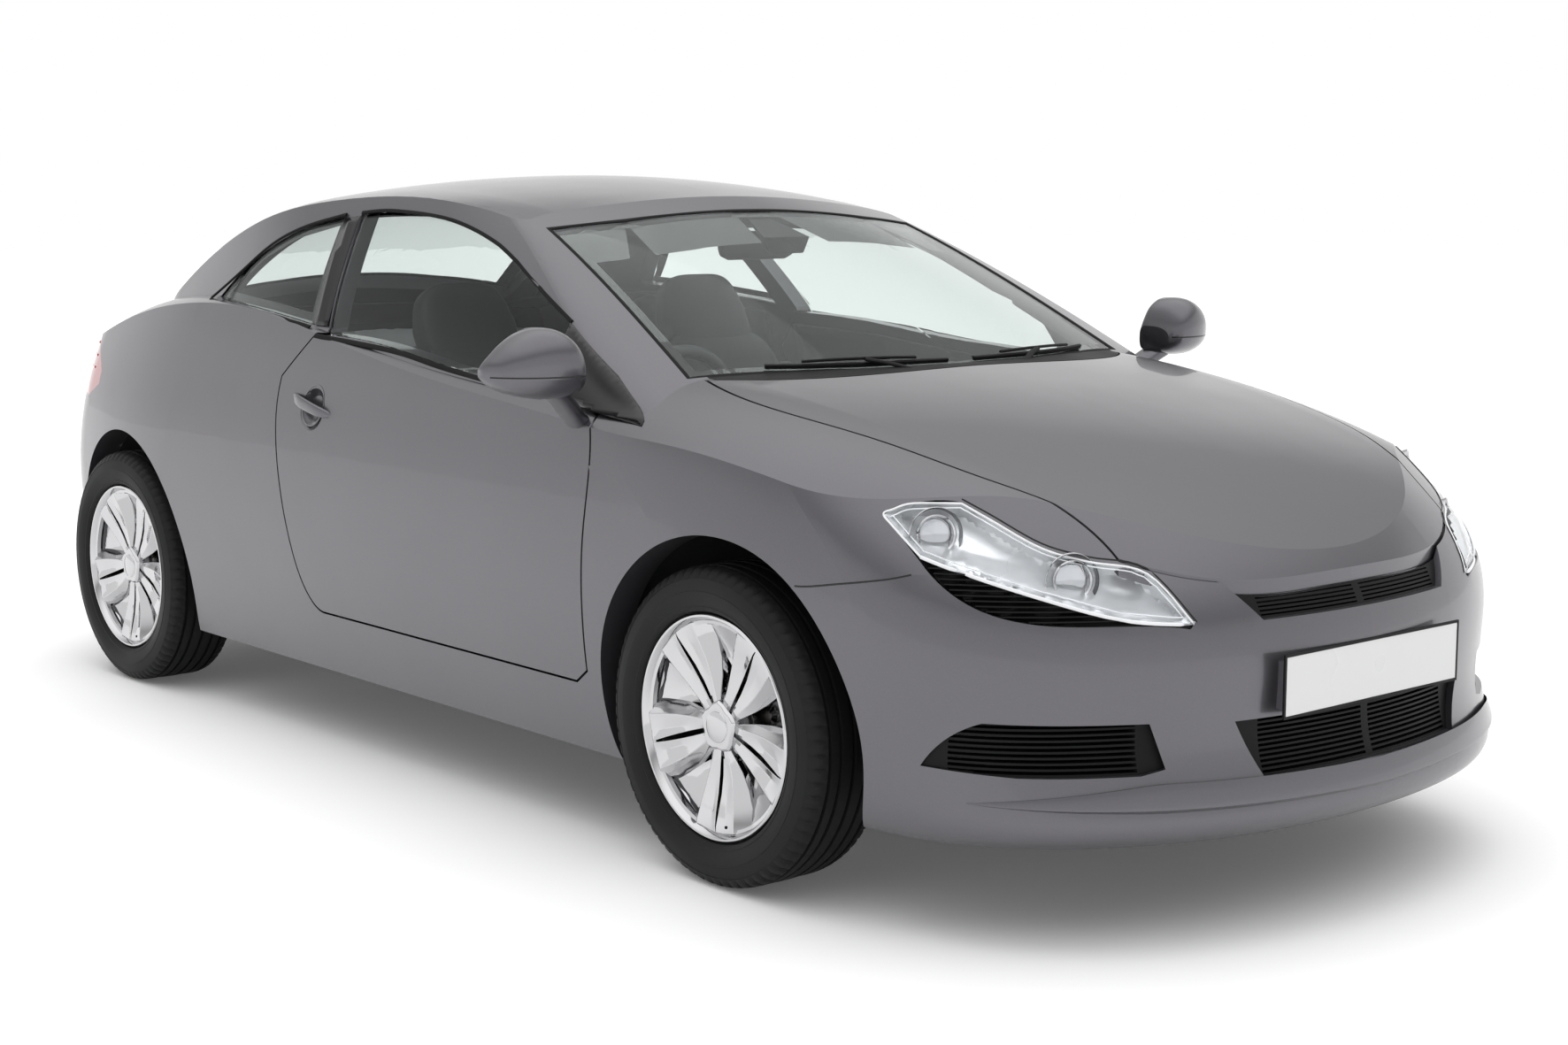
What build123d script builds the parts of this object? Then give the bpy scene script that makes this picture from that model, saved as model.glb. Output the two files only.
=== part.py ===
from build123d import *
import os
from math import sin, cos, tan, acos, hypot, radians, sqrt

# A two-door coupe with a rear hatch. Millimetres; X forward, Y to the car's left, Z up.
# z = 0 is the ground and x = 0 is half-way between the bumpers.
# Stations run along the car: 0 at the nose, 1 at the front axle, 2 at the rear axle, 3 at the tail.

# Driving dimensions
LENGTH = 4150
HEIGHT = 1342
HALF_WIDTH = 858
WHEELBASE = 2500
FRONT_OVERHANG = 915
TRACK = 1495
TYRE_RADIUS = 308
TYRE_WIDTH = 195
RIM_RADIUS = 217
PANEL_GAP = 5
SEAT_CLEARANCE = 0.3
CUT_OVERRUN = 400

# Thickness of the body's walls
WALL = 75
TOP_WALL = 36
FRAME_DEPTH = 45
BONNET_DEPTH = 32
BONNET_BASE = 570
GLASS_RECESS = 3
GLASS_THICKNESS = 5
WINDSCREEN_SLOPE = 25
SIDE_GLASS_LEAN = 33

NOSE_X = LENGTH / 2
TAIL_X = -LENGTH / 2
FRONT_AXLE_X = NOSE_X - FRONT_OVERHANG
REAR_AXLE_X = FRONT_AXLE_X - WHEELBASE
AXLE_Z = TYRE_RADIUS
WHEEL_Y = TRACK / 2

# Body plan: (radius as a share of the half width, heading in degrees where the arc ends)
NOSE_ARC_SHARES = ((1.632, 12), (1.049, 35), (0.559, 80))
TAIL_ARC_SHARES = ((1.981, 10), (1.049, 30), (0.501, 78))
# Body at each height: shares of (height, front overhang, half width, rear overhang)
BODY_LEVEL_SHARES = (
    (0.136, 0.044, 0.068, 0.150),
    (0.179, 0, 0.049, 0.082),
    (0.261, 0.033, 0.026, 0.020),
    (0.373, 0.033, 0.005, 0),
    (0.462, 0.082, 0.002, 0.016),
    (0.566, 0.251, 0.016, 0.068),
    (0.671, 0.459, 0.064, 0.136),
    (0.805, 0.765, 0.175, 0.313),
)
# Crowned top of the lower body: station, then shares of
# (height at the centre, half width at the shoulder, height lost at the shoulder, height lost at the edge)
EDGE_SHARE = 1.05
TOP_SHARES = (
    (-0.066, 0.417, 0.559, 0.007, 0.224),
    (0.126, 0.496, 0.559, 0.009, 0.216),
    (0.301, 0.560, 0.583, 0.012, 0.186),
    (0.563, 0.624, 0.618, 0.013, 0.160),
    (0.956, 0.684, 0.653, 0.015, 0.138),
    (1.120, 0.717, 0.664, 0.016, 0.149),
    (1.344, 0.734, 0.699, 0.016, 0.142),
    (1.624, 0.771, 0.746, 0.018, 0.134),
    (1.904, 0.796, 0.746, 0.019, 0.134),
    (2.354, 0.745, 0.653, 0.018, 0.180),
    (3.082, 0.660, 0.583, 0.018, 0.238),
)
# Cabin: shares of (height, station of the windscreen's centre, half width, station of the rear)
CABIN_NOSE_ARC_SHARES = ((1.785, 31), (0.129, 84))
CABIN_TAIL_ARC_SHARES = ((1.940, 18), (0.427, 78))
CABIN_LEVEL_SHARES = (
    (0.566, 0.754, 0.915, 2.422),
    (0.697, 1.060, 0.901, 2.408),
    (0.820, 1.194, 0.797, 2.408),
    (0.923, 1.324, 0.683, 2.408),
    (1.002, 1.456, 0.589, 2.463),
)
ROOF_SHARES = (
    (0.628, 0.753, 0.559, 0.028, 0.194),
    (1.104, 0.827, 0.559, 0.028, 0.194),
    (1.264, 0.909, 0.559, 0.028, 0.194),
    (1.352, 0.951, 0.559, 0.028, 0.194),
    (1.464, 0.985, 0.559, 0.028, 0.194),
    (1.584, 1.000, 0.559, 0.028, 0.194),
    (1.744, 0.992, 0.559, 0.028, 0.197),
    (1.844, 0.972, 0.559, 0.031, 0.209),
    (1.944, 0.917, 0.559, 0.039, 0.224),
    (2.082, 0.842, 0.559, 0.045, 0.238),
    (2.299, 0.771, 0.559, 0.045, 0.246),
    (2.490, 0.719, 0.559, 0.037, 0.246),
)

# Side-view outlines: runs of (station, share of the height); a run of three or more points is a curve
DOOR_SHARES = (
    ((1.151, 0.597), (1.150, 0.480), (1.155, 0.346), (1.158, 0.267)),
    ((1.174, 0.247),),
    ((1.575, 0.247),),
    ((1.590, 0.253), (1.606, 0.282), (1.621, 0.350), (1.634, 0.442), (1.646, 0.534), (1.658, 0.648)),
    ((1.626, 0.723),),
    ((1.482, 0.709), (1.393, 0.691), (1.196, 0.659), (1.164, 0.645)),
)
DOOR_SLANT = -0.15
DOOR_GLASS_SHARES = (
    ((1.608, 0.735),),
    ((1.660, 0.930),),
    ((1.603, 0.934), (1.498, 0.920), (1.400, 0.881), (1.323, 0.828), (1.245, 0.772)),
    ((1.222, 0.640),),
    ((1.300, 0.640),),
    ((1.604, 0.690),),
)
QUARTER_GLASS_SHARES = (
    ((1.690, 0.926),),
    ((1.698, 0.923), (1.761, 0.899), (1.810, 0.858), (1.866, 0.772)),
    ((1.852, 0.766),),
    ((1.734, 0.753), (1.642, 0.737)),
)
WING_SEAM_SHARE = 1.159
BUMPER_SHARES = (
    ((0.82, 0.456),),
    ((0.720, 0.456), (0.530, 0.478), (0.480, 0.487)),
    ((0.213, 0.498),),
    ((0.213, 0.8),),
    ((-0.3, 0.8),),
    ((-0.3, 0.02),),
    ((0.82, 0.02),),
)
REAR_BUMPER_SHARES = (
    ((2.400, 0.455),),
    ((3.4, 0.455),),
    ((3.4, 0.02),),
    ((2.400, 0.02),),
)
# Plan-view outlines: runs of (station, share of the half width), for the left half
BONNET_SHARES = (
    ((1.048, 0), (1.050, 0.319), (1.069, 0.550), (1.112, 0.711)),
    ((1.027, 0.752), (0.744, 0.706), (0.501, 0.649), (0.366, 0.588), (0.243, 0.560)),
    ((0.138, 0.373), (0.093, 0.082), (0.091, 0)),
    ((0.091, -0.05),),
    ((1.048, -0.05),),
)
WINDSCREEN_SHARES = (
    ((1.352, 0), (1.356, 0.420), (1.372, 0.636)),
    ((1.124, 0.746),),
    ((1.095, 0.510), (1.070, 0.250), (1.062, 0)),
    ((1.062, -0.05),),
    ((1.352, -0.05),),
)
ROOF_PANEL_SHARES = (
    ((1.352, 0), (1.356, 0.420), (1.372, 0.636)),
    ((1.850, 0.636),),
    ((1.850, -0.05),),
    ((1.352, -0.05),),
)
ROOF_REAR_STATION = 1.840
ROOF_CUT_WALLS = 8
# Hinge plates in the shut gaps of the doors, the tailgate and the bonnet
HINGE_INSET = 16
HINGE_HEIGHT = 70
HINGE_WIDTH = 50
DOOR_HINGE_SHARES = (0.40, 0.55)
TAILGATE_HINGE_Y = 340
BONNET_HINGE_Y = 480
COWL_STATION = 1.13
COWL_SHARE = 0.70
TAIL_LAMP_STATION = 2.28
# Rear-view outlines: runs of (share of the half width, share of the height)
TAILGATE_SHARES = (
    ((-0.05, 1.2),),
    ((0.655, 1.2),),
    ((0.655, 0.67),),
    ((0.640, 0.56), (0.600, 0.465)),
    ((0.560, 0.450),),
    ((-0.05, 0.450),),
)
REAR_WINDOW_SHARES = (
    ((1.862, 0), (1.864, 0.300), (1.872, 0.560)),
    ((2.190, 0.585),),
    ((2.225, 0.300), (2.235, 0)),
    ((2.235, -0.05),),
    ((1.862, -0.05),),
)
TAIL_LAMP_SHARES = (
    ((0.665, 0.690),),
    ((0.800, 0.690), (0.870, 0.650), (0.925, 0.590)),
    ((0.910, 0.555),),
    ((0.820, 0.575), (0.665, 0.600)),
)

# Headlamp, seen square on from the corner of the car
LAMP_LENGTH = 541
LAMP_HEIGHT = 199
LAMP_STATION_SHARE = 0.583
LAMP_Y_SHARE = 0.872
LAMP_BASE_SHARE = 0.4255
LAMP_SHARES = (
    ((0, 0.89),),
    ((0.096, 0.985), (0.253, 1)),
    ((0.348, 0.87), (0.510, 0.648), (0.658, 0.538), (0.847, 0.427)),
    ((1, 0),),
    ((0.985, -0.045),),
    ((0.562, 0.020), (0.410, 0.070), (0.303, 0.156), (0.202, 0.312), (0.124, 0.518)),
)
# Black grille that runs along the lamp's lower edge
LAMP_GRILLE_SHARES = (
    ((1, 0),),
    ((0.95, 0),),
    ((0.754, 0.065), (0.471, 0.276), (0.218, 0.477), (0.124, 0.545)),
    ((0.05, 0.5),),
    ((0.05, -0.1),),
    ((1, -0.1),),
)
LAMP_BAR_COUNT = 12
LAMP_GRILLE_INSET = 6
# Side intake, seen the same way
INTAKE_LENGTH = 423
INTAKE_HEIGHT = 94
INTAKE_STATION_SHARE = 0.450
INTAKE_Y_SHARE = 0.899
INTAKE_BASE_SHARE = 0.233
INTAKE_SHARES = (
    ((0, 0.096),),
    ((0.106, 0.66), (0.25, 1)),
    ((0.93, 0.957),),
    ((1, 0.096),),
    ((0.9, 0),),
    ((0.395, 0),),
)
# Grilles, seen from the front
UPPER_GRILLE_TOP = 633
UPPER_GRILLE_BASE = 566
UPPER_GRILLE_HALF_TOP = 326
UPPER_GRILLE_HALF_BASE = 268
LOWER_GRILLE_TOP = 394
LOWER_GRILLE_BASE = 290
LOWER_GRILLE_HALF_TOP = 336
LOWER_GRILLE_HALF_BASE = 284
GRILLE_INSET = 14
GRILLE_DEPTH = 34
GRILLE_BAR = 4
GRILLE_POST = 10
INTAKE_INNER_SHARE = 0.59
INTAKE_OUTER_SHARE = 0.87
UPPER_BAR_COUNT = 9
LOWER_BAR_COUNT = 11
INTAKE_BAR_COUNT = 9

PLATE_WIDTH = 520
PLATE_HEIGHT = 111
PLATE_THICKNESS = 4
FRONT_PLATE_Z = 451
REAR_PLATE_Z = 470
PLATE_STANDOFF = 6

# Wheel arches and wheel wells
ARCH_CLEARANCE = 57
ARCH_SHIFT = 20
ARCH_LIFT = 4
FRONT_WELL_CLEARANCE = 72
FRONT_WELL_Y = 470
REAR_WELL_Y = 590
WELL_INNER_RISE = 75

# Floor, bulkheads and boot
FLOOR_Z = 190
FLOOR_THICKNESS = 25
REAR_FLOOR_Z = 330
FLOOR_STEP_X = -700
FIREWALL_X = 905
FIREWALL_TOP = 860
FRONT_PANEL_X = 1600
REAR_PANEL_X = -1850
SHEET = 12
LINER_GAP = 1
LINER_REAR_X = 795
TUNNEL_WIDTH = 240
TUNNEL_TOP = 330
FRONT_PANEL_TOP = 545
REAR_PANEL_TOP = 545
TOWER_RADIUS = 75
TOWER_Z = 745

# Wheels and brakes
BEAD_RADIUS = 203
TREAD_WIDTH = 158
TREAD_SHOULDER = 24
BEAD_WIDTH = 152
TREAD_CROWN = 1
BARREL_WALL = 9
HUB_FACE = 38
HUB_RADIUS = 62
HUB_CAP_RADIUS = 34
BLADE_PAIRS = 5
BLADE_DEPTH = 26
BLADE_ROOT_WIDTH = 30
BLADE_MIDDLE_WIDTH = 62
BLADE_TIP_WIDTH = 86
BLADE_SPREAD = 17.5
BLADE_TWIST = 9
BLADE_RIDGE = 5
SPINDLE_RADIUS = 20
SHAFT_CLEARANCE = 0.06
DISC_RADIUS = 140
DISC_THICKNESS = 22
DISC_OFFSET = -14
HAT_RADIUS = 72
CALIPER_GAP = 6
CALIPER_WALL = 14
CALIPER_HEIGHT = 120
CALIPER_REACH = 45

# Steering axis of the left front wheel: lower ball and upper strut mount
LOWER_BALL_Y = 690
LOWER_BALL_Z = 205
UPPER_MOUNT_Y = 572
STRUT_RADIUS = 26
UPPER_SHAFT_LOW = 700
UPPER_SHAFT_HIGH = 765
BALL_STUD_RADIUS = 9
STEER_LIMIT = 32
UPRIGHT_WIDTH = 64
UPRIGHT_DEPTH = 44
UPRIGHT_Y = 664
STEERING_ARM = 120

# Subframe, engine and axle
RAIL_WIDTH = 60
RAIL_HEIGHT = 66
RAIL_Z = 255
RAIL_Y = 410
CROSSBEAM_DEPTH = 70
ARM_WIDTH = 46
ARM_HEIGHT = 24
ENGINE_LENGTH = 430
ENGINE_WIDTH = 640
ENGINE_HEIGHT = 370
ENGINE_X = 1250
BEAM_SECTION = 64
BEAM_HALF_WIDTH = 560
TRAILING_ARM_Y = 500
TRAILING_ARM_WIDTH = 50
PIPE_RADIUS = 22
PIPE_DROP = 30
PIPE_Y = -170
MUFFLER_LENGTH = 200
MUFFLER_WIDTH = 420
MUFFLER_HEIGHT = 130
MUFFLER_X = -1590

# Cabin
DRIVER_Y = -370
SEAT_WIDTH = 500
CUSHION_LENGTH = 500
CUSHION_DEPTH = 130
CUSHION_Z = 330
SEAT_FRONT_X = 330
BACK_HEIGHT = 560
BACK_DEPTH = 110
BACK_LEAN = 24
HEADREST_WIDTH = 250
HEADREST_HEIGHT = 160
BENCH_WIDTH = 1060
BENCH_DEPTH = 400
BENCH_HEIGHT = 130
BENCH_BACK_HEIGHT = 480
DASH_TOP = 905
DASH_BASE = 616
DASH_FRONT_X = 600
DASH_HALF_WIDTH = 640
CONSOLE_WIDTH = 180
CONSOLE_TOP = 560
CONSOLE_REAR_X = -120
STEERING_WHEEL_RADIUS = 185
STEERING_GRIP_RADIUS = 15
STEERING_X = 425
STEERING_Z = 800
COLUMN_RAKE = 22
COLUMN_RADIUS = 18
COLUMN_DEPTH = 150
SHROUD_START = 40
SHROUD_LENGTH = 260
SPOKE_ANGLES = (0, 180, 270)
SOFT_SHARE = 0.35
DASH_SECTION_SHARES = ((0.55, 0), (0.10, 0.30), (0.02, 0.62), (0.18, 0.92), (0.45, 1))
SHROUD_RADIUS = 48

# Small outer parts
MIRROR_REAR_X = 720
MIRROR_INNER_Y = 866
MIRROR_Z = 975
MIRROR_LENGTH = 130
MIRROR_WIDTH = 188
MIRROR_HEIGHT = 142
# (across, length, height, rise) of each section of the head
MIRROR_SECTION_SHARES = (
    (0.00, 0.55, 0.45, -0.08),
    (0.10, 0.82, 0.78, -0.04),
    (0.35, 1.00, 0.98, 0),
    (0.65, 0.95, 1.00, 0.02),
    (0.90, 0.70, 0.78, 0.03),
    (1.00, 0.38, 0.46, 0.03),
)
MIRROR_ROUND_SHARE = 0.42
STALK_X = 716
STALK_Z = 842
STALK_THICKNESS = 30
STALK_DEPTH = 60
STALK_RISE_SHARE = 0.9
HANDLE_STATION_SHARE = 1.586
HANDLE_HEIGHT_SHARE = 0.609
HANDLE_LENGTH = 178
HANDLE_THICKNESS = 16
HANDLE_STANDOFF = 22
HANDLE_TILT = 12
RECESS_RADIUS = 75
RECESS_DEPTH = 15
WIPER_THICKNESS = 9
WIPER_SHARES = (
    ((1.070, 0.030),),
    ((1.079, 0.300), (1.106, 0.560)),
    ((1.113, 0.555),),
    ((1.087, 0.300), (1.077, 0.030)),
)



def station_x(station):
    if station <= 1:
        return NOSE_X - station * FRONT_OVERHANG
    if station <= 2:
        return FRONT_AXLE_X - (station - 1) * WHEELBASE
    return REAR_AXLE_X - (station - 2) * (REAR_AXLE_X - TAIL_X)


def quarter_arcs(tip_x, half_width, inset, table, sign):
    """Arcs from a tip on the centre line round to the widest point, as (start, middle, end) points."""
    rows = [(radius - inset, end) for radius, end in table]
    reach, heading = 0, 0
    for radius, end in rows:
        reach += radius * (sin(radians(end)) - sin(radians(heading)))
        heading = end
    rows.append(((half_width - reach) / (1 - sin(radians(heading))), 90))
    arcs = []
    x, y, heading = tip_x, 0, 0
    for radius, end in rows:
        points = [(x, y)]
        for angle in ((heading + end) / 2, end):
            dx = radius * (cos(radians(heading)) - cos(radians(angle)))
            dy = radius * (sin(radians(angle)) - sin(radians(heading)))
            points.append((x - sign * dx, y + dy))
        arcs.append(points)
        (x, y), heading = points[-1], end
    return arcs


def plan_outline(z, nose_x, tail_x, half_width, inset, nose_arcs, tail_arcs):
    """Closed plan outline at height z, of tangent arcs and two side lines."""
    nose = quarter_arcs(nose_x, half_width, inset, nose_arcs, 1)
    tail = quarter_arcs(tail_x, half_width, inset, tail_arcs, -1)

    def arc(points, side=1):
        return ThreePointArc(*[(x, side * y, z) for x, y in points])

    def tip_arc(points):
        (x0, _), _, (x2, y2) = points
        return ThreePointArc((x2, -y2, z), (x0, 0, z), (x2, y2, z))

    (nx, ny), (tx, ty) = nose[-1][-1], tail[-1][-1]
    edges = [tip_arc(nose[0])]
    edges += [arc(p) for p in nose[1:]]
    edges.append(Line((nx, ny, z), (tx, ty, z)))
    edges += [arc(p[::-1]) for p in tail[:0:-1]]
    edges.append(tip_arc(tail[0]))
    edges += [arc(p, -1) for p in tail[1:]]
    edges.append(Line((tx, -ty, z), (nx, -ny, z)))
    edges += [arc(p[::-1], -1) for p in nose[:0:-1]]
    return Wire(edges)


def bend(start, tangent, end):
    """Middle point of the arc that leaves start along tangent and ends at end."""
    cx, cy = end[0] - start[0], end[1] - start[1]
    chord, size = hypot(cx, cy), hypot(*tangent)
    tx, ty = tangent[0] / size, tangent[1] / size
    along = (tx * cx + ty * cy) / chord
    nx, ny = tx - along * cx / chord, ty - along * cy / chord
    sagitta = chord / 2 * tan(acos(along) / 2) / hypot(nx, ny)
    return start[0] + cx / 2 + nx * sagitta, start[1] + cy / 2 + ny * sagitta


def crowned_section(row, drop=0):
    """Closed cross-section under a crowned top: crown arc, shoulder arcs, then straight down."""
    station, centre_share, shoulder_share, shoulder_drop_share, edge_drop_share = row
    x = station_x(station)
    centre_z = centre_share * HEIGHT - drop
    shoulder_y, half_y, base_z = shoulder_share * HALF_WIDTH, EDGE_SHARE * HALF_WIDTH, -CUT_OVERRUN
    shoulder = (shoulder_y, centre_z - shoulder_drop_share * HEIGHT)
    edge = (half_y, centre_z - edge_drop_share * HEIGHT)
    middle = bend(shoulder, (shoulder_y, -2 * shoulder_drop_share * HEIGHT), edge)

    def at(point, side=1):
        return (x, side * point[0], point[1])

    return Wire([
        ThreePointArc(at(shoulder, -1), at((0, centre_z)), at(shoulder)),
        ThreePointArc(at(shoulder), at(middle), at(edge)),
        Line(at(edge), at((half_y, base_z))),
        Line(at((half_y, base_z)), at((half_y, base_z), -1)),
        Line(at((half_y, base_z), -1), at(edge, -1)),
        ThreePointArc(at(edge, -1), at(middle, -1), at(shoulder, -1)),
    ])


def sized(arc_shares, unit):
    return [(share * unit, end) for share, end in arc_shares]


def lower_form(wall=0, top_wall=0, open_below=False):
    """The body up to the windows, or the space inside its walls."""
    rows = list(BODY_LEVEL_SHARES)
    levels = [
        plan_outline(
            z * HEIGHT, NOSE_X - nose * FRONT_OVERHANG - wall,
            TAIL_X + tail * (REAR_AXLE_X - TAIL_X) + wall, (1 - side) * HALF_WIDTH - wall,
            side * HALF_WIDTH + wall, sized(NOSE_ARC_SHARES, HALF_WIDTH), sized(TAIL_ARC_SHARES, HALF_WIDTH))
        for z, nose, side, tail in rows
    ]
    plan = Solid.make_loft(levels)
    if open_below:
        plan += extrude(Face(levels[0]), amount=CUT_OVERRUN / 2, dir=(0, 0, -1))
    top = Solid.make_loft([crowned_section(row, top_wall) for row in TOP_SHARES])
    return plan & top


def cabin_form(depth=0):
    """The cabin above the windows' lower edge, at a depth below its skin."""
    levels = []
    for z, front, half, rear in CABIN_LEVEL_SHARES:
        unit = half * HALF_WIDTH - depth / cos(radians(SIDE_GLASS_LEAN))
        levels.append(plan_outline(
            z * HEIGHT, station_x(front) - depth / sin(radians(WINDSCREEN_SLOPE)), station_x(rear) + depth,
            unit, 0, sized(CABIN_NOSE_ARC_SHARES, unit), sized(CABIN_TAIL_ARC_SHARES, unit)))
    roof = Solid.make_loft([crowned_section(row, depth) for row in ROOF_SHARES])
    return Solid.make_loft(levels) & roof


def grown(points, amount):
    """The corners of a closed outline, moved outward by amount."""
    count = len(points)
    area = sum(points[i - 1][0] * points[i][1] - points[i][0] * points[i - 1][1] for i in range(count))
    side = 1 if area > 0 else -1
    moved = []
    for i in range(count):
        (ax, ay), (bx, by), (cx, cy) = points[i - 1], points[i], points[(i + 1) % count]
        ux, uy = bx - ax, by - ay
        vx, vy = cx - bx, cy - by
        lu, lv = hypot(ux, uy), hypot(vx, vy)
        nx, ny = side * (uy / lu + vy / lv), -side * (ux / lu + vx / lv)
        square = nx * nx + ny * ny
        moved.append((bx + 2 * amount * nx / square, by + 2 * amount * ny / square))
    return moved


def prism(runs, lift, direction, length, grow=0):
    """A closed outline of lines and curves, moved along a direction. lift turns a pair into a point."""
    points = [point for run in runs for point in run]
    if grow:
        points = grown(points, grow)
    edges, index, start = [], 0, points[-1]
    for run in runs:
        ends = [start] + points[index:index + len(run)]
        index += len(run)
        start = ends[-1]
        if hypot(ends[0][0] - ends[1][0], ends[0][1] - ends[1][1]) < SEAT_CLEARANCE:
            ends = ends[1:]
        if len(ends) == 2:
            edges.append(Line(*[lift(point) for point in ends]))
        elif len(ends) > 2:
            edges.append(Spline(*[lift(point) for point in ends]))
    return extrude(Face(Wire(edges)), amount=length, dir=direction)


def side_runs(shares):
    return [[(station_x(station), share * HEIGHT) for station, share in run] for run in shares]


def plan_runs(shares):
    return [[(station_x(station), share * HALF_WIDTH) for station, share in run] for run in shares]


def rear_runs(shares):
    return [[(across * HALF_WIDTH, share * HEIGHT) for across, share in run] for run in shares]


def side_prism(shares, grow=0, slant=0):
    """From the side, on the left half of the car."""
    def lift(point):
        return (point[0] - slant * HALF_WIDTH, 0, point[1])
    return prism(side_runs(shares), lift, (slant, 1, 0), 2 * HALF_WIDTH, grow)


def plan_prism(shares, base, grow=0):
    return prism(plan_runs(shares), lambda point: (point[0], point[1], base), (0, 0, 1), HEIGHT, grow)


def rear_prism(shares, grow=0, station=ROOF_REAR_STATION):
    front_x = station_x(station) + grow
    return prism(rear_runs(shares), lambda point: (front_x, point[0], point[1]), (-1, 0, 0), LENGTH, grow)


def corner_prism(shares, length, height, station, across, base, grow=0):
    """Seen square on from the left front corner, at 45 degrees to the car."""
    diagonal = sqrt(0.5)
    start = (station_x(station) - across * HALF_WIDTH) * diagonal
    runs = [[(start + along * length, base * HEIGHT + up * height) for along, up in run] for run in shares]

    def lift(point):
        return (point[0] * diagonal, -point[0] * diagonal, point[1])
    return prism(runs, lift, (1, 1, 0), 2 * LENGTH, grow)


def mirrored(solid):
    return mirror(solid, about=Plane.XZ)


def both(solid):
    return solid + mirrored(solid)


def box_between(low, high):
    size = [high[i] - low[i] for i in range(3)]
    centre = [(high[i] + low[i]) / 2 for i in range(3)]
    return Pos(*centre) * Box(*size)


def y_cylinder(radius, x, z, y0, y1):
    return Pos(x, (y0 + y1) / 2, z) * Rot(90, 0, 0) * Cylinder(radius, abs(y1 - y0))


def arches(front_clearance, rear_clearance, front_shift, outer=None):
    """Round wells of the left wheels, from their inner walls outward."""
    outer = outer or 2 * HALF_WIDTH
    return (y_cylinder(TYRE_RADIUS + front_clearance, FRONT_AXLE_X + front_shift, AXLE_Z + ARCH_LIFT, FRONT_WELL_Y, outer),
            y_cylinder(TYRE_RADIUS + rear_clearance, REAR_AXLE_X + ARCH_SHIFT, AXLE_Z + ARCH_LIFT, REAR_WELL_Y, outer))


def largest(shape):
    return max(shape.solids(), key=lambda solid: solid.volume)


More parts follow.
